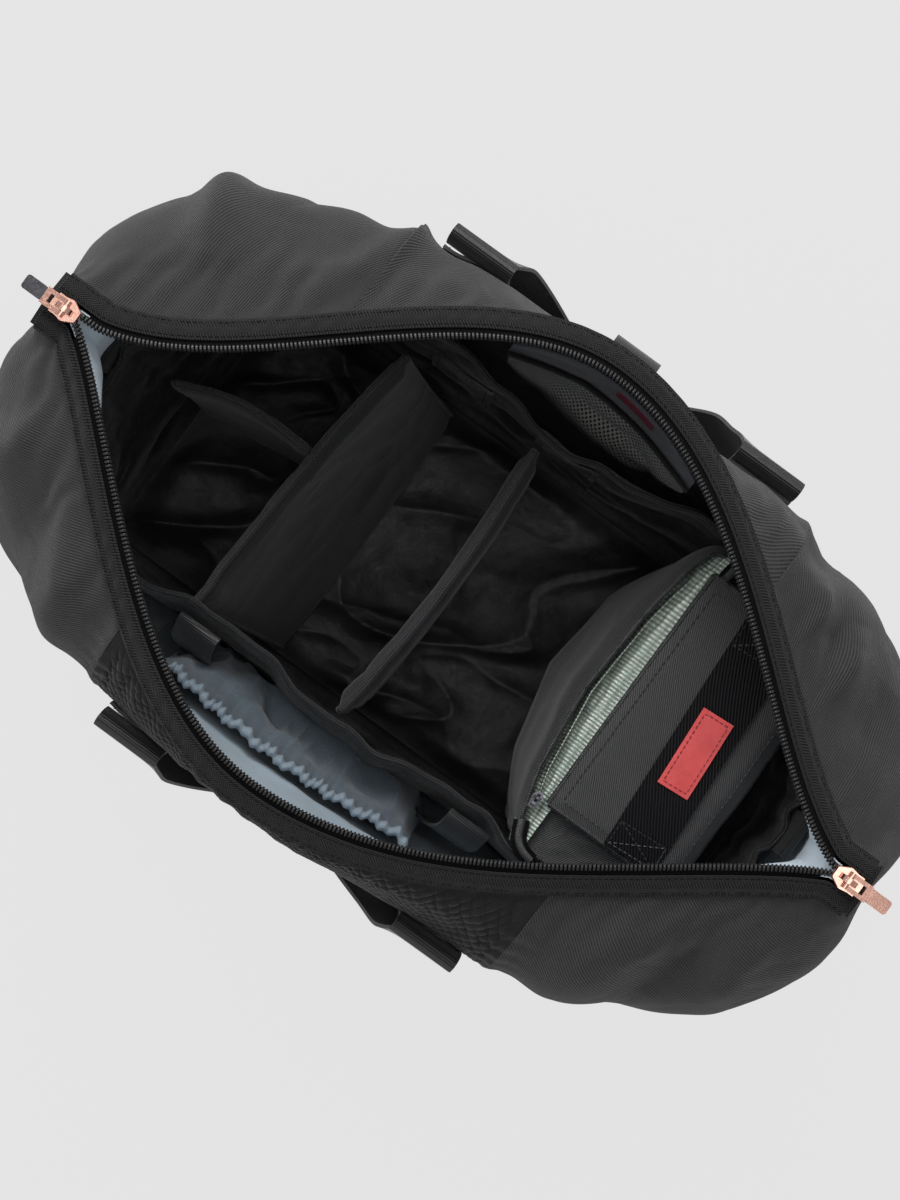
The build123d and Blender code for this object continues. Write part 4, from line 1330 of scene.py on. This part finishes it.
def build_pouch():
    earlier = set(bpy.data.objects)
    heights = np.concatenate([np.linspace(0.0125, 0.190, 70), np.linspace(0.1925, 0.2005, 6)])
    body, rings = wall_ring("pouch_padded_wall", heights, 300, 0.0030, 0.0060, 0.0020, 121)
    dressed(body, "padded", "insulated_pouch", ["pouch_shell"])
    top = np.concatenate([rings[-1], rings[-1][:2]])
    rim = tube("pouch_rim_piping", top + UP * 0.0006, (0.0013, 0.0013))
    dressed(rim, "webbing", "insulated_pouch")
    floor = slab_ring("pouch_bottom", pouch_ring(0.0125, 200, 0.004), 0.0030, 20)
    dressed(floor, "padded", "insulated_pouch")
    heights = np.concatenate([np.linspace(0.016, 0.185, 60), np.linspace(0.188, 0.1985, 6)])
    foil = wall_ring("pouch_foil_wall", heights, 260, 0.0072, 0.0012, 0.0012, 131)[0]
    dressed(foil, "foil", "insulated_pouch", ["pouch_foil_lining"])
    build_foil_gusset()
    build_pouch_shoulders()
    build_pouch_zip()
    build_lid()
    for obj in set(bpy.data.objects) - earlier:
        reach_back(obj)


def build_foil_gusset():
    """The slack foil seen in the slit, from the left wall's inside up to the lid's edge."""
    ys = np.linspace(-0.0865, 0.0865, 190)
    open_share = slit_share(ys)
    left = LID_LEFT - 0.0035 - 0.0178 * open_share
    rows = []
    for across, drop in FOIL_FOLD:
        x = left + (LID_LEFT + 0.0030 - left) * across
        rows.append(stacked(x, ys, POUCH_HIGH.z + 0.0020 + drop * (0.35 + 0.65 * open_share)))
    grid = np.swapaxes(spline(rows, 46), 0, 1)
    crinkle = 0.0007 * creases(grid, 0.012, 141) + 0.0005 * soft_noise(grid, 0.006, 143)
    grid = grid + normals_of(grid) * (crinkle * (0.3 + 0.7 * arch(np.linspace(0, 1, 46))))[..., None]
    cloth_piece("pouch_foil_gusset", grid, 0.0006, "foil", "insulated_pouch")


def build_pouch_zip():
    """Zip tape and fine coil where they show at both ends of the slit."""
    for word, controls in ZIP_ENDS.items():
        wide = unit(np.cross(np.gradient(np.array(controls), axis=0), UP))
        strip(f"pouch_zip_{word}_tape", controls, wide, 0.0085, 0.0009, "insulated_pouch", "tape",
              ["pouch_zip"] if word == "front" else [], 60)
        line = evenly(spline(controls, 60), 34)
        across = 0.0021 * unit(np.cross(np.gradient(line, axis=0), UP))
        line = line + UP * 0.0012
        teeth = threads(f"pouch_zip_{word}_teeth", list(zip(line - across, line + across)), 0.00052, 6)
        dressed(teeth, "coil", "insulated_pouch")


def lid_height(x, y):
    """The lid's top: a soft crown, sunk a little along its left edge."""
    across = np.clip((x - LID_LEFT) / (LID_RIGHT - LID_LEFT), 0, 1)
    crown = arch(across) ** 0.5 * (1 - (np.abs(y - 0.008) / 0.070) ** 4)
    return LID_Z + 0.0016 * crown - 0.0004


def build_pouch_shoulders():
    """The slack fabric between each end of the lid and the pouch's end walls."""
    gx, gs = plane(np.linspace(0.1015, POUCH_HIGH.x - 0.002, 90), np.linspace(0, 1, 40))
    for side, word in SIDES:
        edge = LID_FRONT + 0.004 if side < 0 else LID_BACK - 0.004
        gy = edge + (side * (POUCH_DEEP - 0.002) - edge) * gs
        grid = stacked(gx, gy, POUCH_HIGH.z - 0.0005 - 0.0035 * arch(gs) - 0.002 * gs)
        grid[..., 2] += 0.0022 * creases(grid, 0.028, 171) * arch(gs)
        cloth_piece(f"pouch_{word}_shoulder", grid, 0.0014, "lid", "insulated_pouch")


def build_lid():
    gx, gy = plane(np.linspace(LID_LEFT, LID_RIGHT, 90), np.linspace(LID_FRONT, LID_BACK, 190))
    grid = stacked(gx, gy, lid_height(gx, gy) + 0.0008 * creases(stacked(gx, gy, 0.0), 0.05, 151))
    grid[..., 2] -= 0.0075 * np.clip((gx - (LID_RIGHT - 0.010)) / 0.010, 0, 1) ** 2
    grid = pad("pouch_lid_pad", grid, 0.0036, "pouch_cover", "pouch_lid", 0.5, "lid")
    piping = tube("pouch_lid_piping", evenly(round_edge(grid), 400), (0.0015, 0.0015))
    dressed(piping, "webbing", "pouch_cover")
    line = round_edge(grid[6:-6, 8:-8]) + UP * 0.0019
    stitches("pouch_lid_stitches", [line], 0.0034, 0.00035, "thread", "pouch_cover")
    cloth_piece("pouch_lid_foil_sheet", grid[4:-6, 6:-6] - UP * 0.0032, 0.0006, "foil", "pouch_cover",
                ["pouch_lid_foil"])
    build_lid_strap()


STRAP_TURN = math.radians(-4.0)
STRAP_MIDDLE = (0.1475, 0.0065)


def on_lid(u, v, lift):
    """A point on the lid, u across and v along the slightly turned strap."""
    x = STRAP_MIDDLE[0] + u * math.cos(STRAP_TURN) + v * math.sin(STRAP_TURN)
    y = STRAP_MIDDLE[1] + v * math.cos(STRAP_TURN) - u * math.sin(STRAP_TURN)
    x = np.clip(x, LID_LEFT, LID_RIGHT - 0.004)
    return stacked(x, y, lid_height(x, y) + lift)


def strap_grid(half_width, low, high, counts, lift):
    """A grid along the strap, which stands a little off the lid in its middle."""
    gu, gv = plane(np.linspace(-half_width, half_width, counts[0]), np.linspace(low, high, counts[1]))
    return on_lid(gu, gv, lift + 0.0016 * arch(np.clip((gv + 0.055) / 0.115, 0, 1), 0.7))


def build_lid_strap():
    grid = strap_grid(0.0152, -0.0640, 0.0660, (30, 150), 0.0030)
    cloth_piece("pouch_strap_webbing", grid, 0.0018, "strap", "pouch_cover",
                ["pouch_strap"])
    half, long = 0.0135, 0.013
    for start, word in ((-0.0625, "front"), (0.0515, "back")):
        boxed = [(-half, 0), (half, 0), (half, long), (-half, long), (-half, 0)]
        corners = np.array(boxed + [(half, long), (half, 0), (-half, long)]) + (0, start)
        t = np.linspace(0, 1, 20)[None, :, None]
        path = (corners[:-1, None] + (corners[1:] - corners[:-1])[:, None] * t).reshape(-1, 2)
        stitches("pouch_strap_stitches_" + word, [on_lid(path[:, 0], path[:, 1], 0.0042)], 0.0030, 0.00042,
                 "thread", "pouch_cover")
    grid = strap_grid(0.0090, -0.0225, 0.0225, (26, 60), 0.0046)
    grid[..., 2] += 0.0003 * soft_noise(grid, 0.012, 161)
    cloth_piece("pouch_patch_leather", grid, 0.0012, "patch", "pouch_cover",
                ["pouch_patch"])
    line = round_edge(grid[3:-3, 3:-3]) + UP * 0.0008
    stitches("pouch_patch_stitches", [line], 0.0030, 0.00036, "red_thread", "pouch_cover")


# ---- handles and the back loop ----
LEG_X = 0.091
LEG_TOP = 0.222
BEND_POINTS = 5  # the path's points up to the pivot, where the webbing folds over
HANDLE_PATH = [  # x, z, outward from the wall, tilt in degrees; the top bend is at the leg
    (0.0910, 0.2220, 0.0024, 0),
    (0.0910, 0.2290, 0.0030, 0),
    (0.0910, 0.2345, 0.0048, 0),
    (0.0910, 0.2366, 0.0078, 0),
    (0.0908, 0.2345, 0.0108, 0),
    (0.0900, 0.2260, 0.0120, 0),
    (0.0870, 0.2120, 0.0118, 8),
    (0.0800, 0.1970, 0.0108, 16),
    (0.0680, 0.1790, 0.0096, 18),
    (0.0490, 0.1580, 0.0084, 14),
    (0.0250, 0.1420, 0.0078, 8),
    (0.0000, 0.1370, 0.0076, 4),
]
LOOP_PATH = [(-0.004, 0.2772), (0.000, 0.2768), (0.0040, 0.2720), (0.0055, 0.2650), (0.0035, 0.2585),
             (0.0005, 0.2590)]  # y past the rim's outer line, z


def wall_y(side, x, z):
    """How far out the outer fabric is at that x and z."""
    grid = WALL_GRIDS[side]
    line = grid[int(np.argmin(np.abs(grid[:, grid.shape[1] // 2, 0] - x)))]
    top = int(np.argmax(np.abs(line[:, 1])))
    low = line[: max(top + 1, int(len(line) * 0.84))]
    return float(np.interp(z, low[:, 2], np.abs(low[:, 1])))


def handle_half(side, end):
    """Points from one leg's fold to the handle's middle, and the webbing's width there."""
    points, sides = [], []
    slack = 0.0060 if side > 0 and end > 0 else 0.0
    leg_y = wall_y(side, end * LEG_X, LEG_TOP)
    for x, z, out, tilt in HANDLE_PATH:
        out = out + slack * math.exp(-(((x - 0.066) / 0.016) ** 2))
        y = leg_y if z > 0.2205 else wall_y(side, end * x, z)
        share = step(z, 0.185, 0.226)
        points.append((end * x, side * (y * (1 - share) + leg_y * share + out), z))
    points = np.array(points)
    along = np.gradient(points, axis=0)
    for i, row in enumerate(HANDLE_PATH):
        if i < BEND_POINTS:
            sides.append(np.array([1.0, 0, 0]))
            continue
        across = unit(np.cross(along[i] * (1, 0, 1), [0, 1.0, 0]))
        across *= 1 if across[0] + 0.0001 > 0 else -1
        if i > 7:
            across *= 1 if across[2] * -end > 0 else -1
        tilt = math.radians(row[3])
        sides.append(across * math.cos(tilt) - end * side * np.array([0, 1.0, 0]) * math.sin(tilt))
    return points, np.array(sides)


def build_handle(side, word):
    """A handle's loop on its own body, and the first stretch up to each fold on the bag."""
    halves = {}
    for end, end_word in ENDS:
        points, sides = handle_half(side, end)
        strip(f"{word}_handle_{end_word}_bend", points[:BEND_POINTS], sides[:BEND_POINTS], WEBBING_WIDE,
              WEBBING_THICK, "bag", count=40)
        halves[end] = (points[BEND_POINTS - 1 :], sides[BEND_POINTS - 1 :])
    (points, sides), (right_points, right_sides) = halves[-1], halves[1]
    right_sides = right_sides[::-1][1:]
    right_sides = right_sides * (1 if sides[-1] @ right_sides[0] > 0 else -1)
    centre = np.concatenate([points, right_points[::-1][1:]])
    strip(f"{word}_handle_webbing", centre, np.concatenate([sides, right_sides]), WEBBING_WIDE,
          WEBBING_THICK, f"{word}_grab_handle", stands_for=[f"{word}_handle"], count=260)


def build_leg(side, word, end, end_word):
    """The stretch of a handle that is sewn down on the panel, with two stitched lines."""
    xs = np.linspace(-WEBBING_WIDE / 2, WEBBING_WIDE / 2, 13) + end * LEG_X
    grid = [[(x, side * (wall_y(side, x, z) + 0.0024), z) for x in xs] for z in np.linspace(0.042, 0.224, 60)]
    grid = np.array(grid)
    name = f"{word}_strap_{end_word}"
    cloth_piece(name, grid, 0.0018, "webbing", "bag",
                [word + "_handle_straps"] if end < 0 else [])
    for column in (1, -2):
        line = grid[:, column] + np.array([0, side * 0.0011, 0])
        stitches(f"{name}_stitches_{column}", [line], 0.0034, 0.0004, "thread", "bag")


def build_handles():
    for side, word in SIDES:
        build_handle(side, word)
        for end, end_word in ENDS:
            build_leg(side, word, end, end_word)
    y = float(rim_y(0.002, 1, 0.0135))
    path = [(0.002, y + out, z) for out, z in LOOP_PATH]
    strip("back_loop_webbing", path, [(1.0, 0, 0)] * len(path), 0.026, 0.0016, "bag",
          stands_for=["back_hang_loop"], count=40)


# ---- the CAD's hard pieces ----
HARD = {
    "board": ["base_board"],
    "rose": ["left_slider", "right_slider", "left_puller", "right_puller", "right_puller_tab"],
    "gunmetal": ["left_puller_tab", "mesh_zip_slider", "mesh_zip_puller", "pouch_zip_slider",
                 "pouch_zip_puller"],
}


def paint_hard_pieces():
    for material, nodes in HARD.items():
        for node in nodes:
            mesh = frame["nodes"][node].data
            mesh.materials.clear()
            mesh.materials.append(MATERIALS[material])


# ---- studio ----
LOOK_FROM = Vector((-0.001, -0.004, 1.530))
FRAME_HEIGHT_AT_RIM = 0.585
PICTURE_TURN = math.radians(36.1)


def stage_plane():
    """A pale paper floor that glows evenly, so that it takes almost no shadow."""
    size = 6.0
    points = [(x * size, y * size, -0.0005) for x, y in ((-1, -1), (1, -1), (1, 1), (-1, 1))]
    floor = make_mesh("studio_floor", points, [(0, 1, 2, 3)], [(0, 0, 0)] * 4)
    m = Nodes("studio_paper")
    m.finish(
        Base_Color=m.blend(m.noise(6, 2, 0.5), (0.024, 0.024, 0.024), (0.026, 0.026, 0.026)),
        Roughness=0.9,
        Specular_IOR_Level=0.0,
        Emission_Color=(1.0, 1.0, 1.0, 1.0),
        Emission_Strength=0.755,
    )
    floor.data.materials.append(m.material)


def area_light(name, place, aim, size, power):
    light = bpy.data.lights.new(name, "AREA")
    light.shape = "RECTANGLE"
    light.size, light.size_y = size
    light.energy = power
    obj = bpy.data.objects.new(name, light)
    obj.location = place
    obj.rotation_euler = (Vector(aim) - Vector(place)).to_track_quat("-Z", "Y").to_euler()
    bpy.context.scene.collection.objects.link(obj)


def build_studio():
    stage_plane()
    world = bpy.data.worlds.new("studio")
    world.use_nodes = True
    background = world.node_tree.nodes["Background"]
    background.inputs["Color"].default_value = (1, 1, 1, 1)
    background.inputs["Strength"].default_value = 0.42
    bpy.context.scene.world = world
    right = Vector((math.cos(PICTURE_TURN), math.sin(PICTURE_TURN), 0))
    up = Vector((-math.sin(PICTURE_TURN), math.cos(PICTURE_TURN), 0))
    key = up * 1.25 - right * 0.15 + Vector((0, 0, 1.45))
    fill = -right * 1.5 - up * 0.2 + Vector((0, 0, 1.6))
    area_light("key_softbox", key, (0, 0, 0.1), (1.5, 0.9), 30)
    area_light("fill_softbox", fill, (0, 0, 0.1), (1.0, 1.0), 2.5)
    area_light("top_softbox", (0.15, 0.1, 2.6), (0, 0, 0), (1.4, 1.4), 12)
    bpy.context.scene.view_settings.view_transform = "Standard"


def build_camera():
    camera = bpy.data.objects.new("camera", bpy.data.cameras.new("camera"))
    bpy.context.scene.collection.objects.link(camera)
    camera.data.sensor_fit = "VERTICAL"
    camera.data.angle = 2 * math.atan(FRAME_HEIGHT_AT_RIM / 2 / (LOOK_FROM.z - RIM_Z))
    camera.data.clip_start = 0.05
    camera.location = LOOK_FROM
    camera.rotation_euler = (0, 0, PICTURE_TURN)
    bpy.context.scene.camera = camera


build_panels()
build_base()
build_mouth()
build_lining()
build_elastic_pocket()
build_mesh_pocket()
build_organiser()
build_dividers()
build_pouch()
build_handles()
paint_hard_pieces()
build_studio()
build_camera()
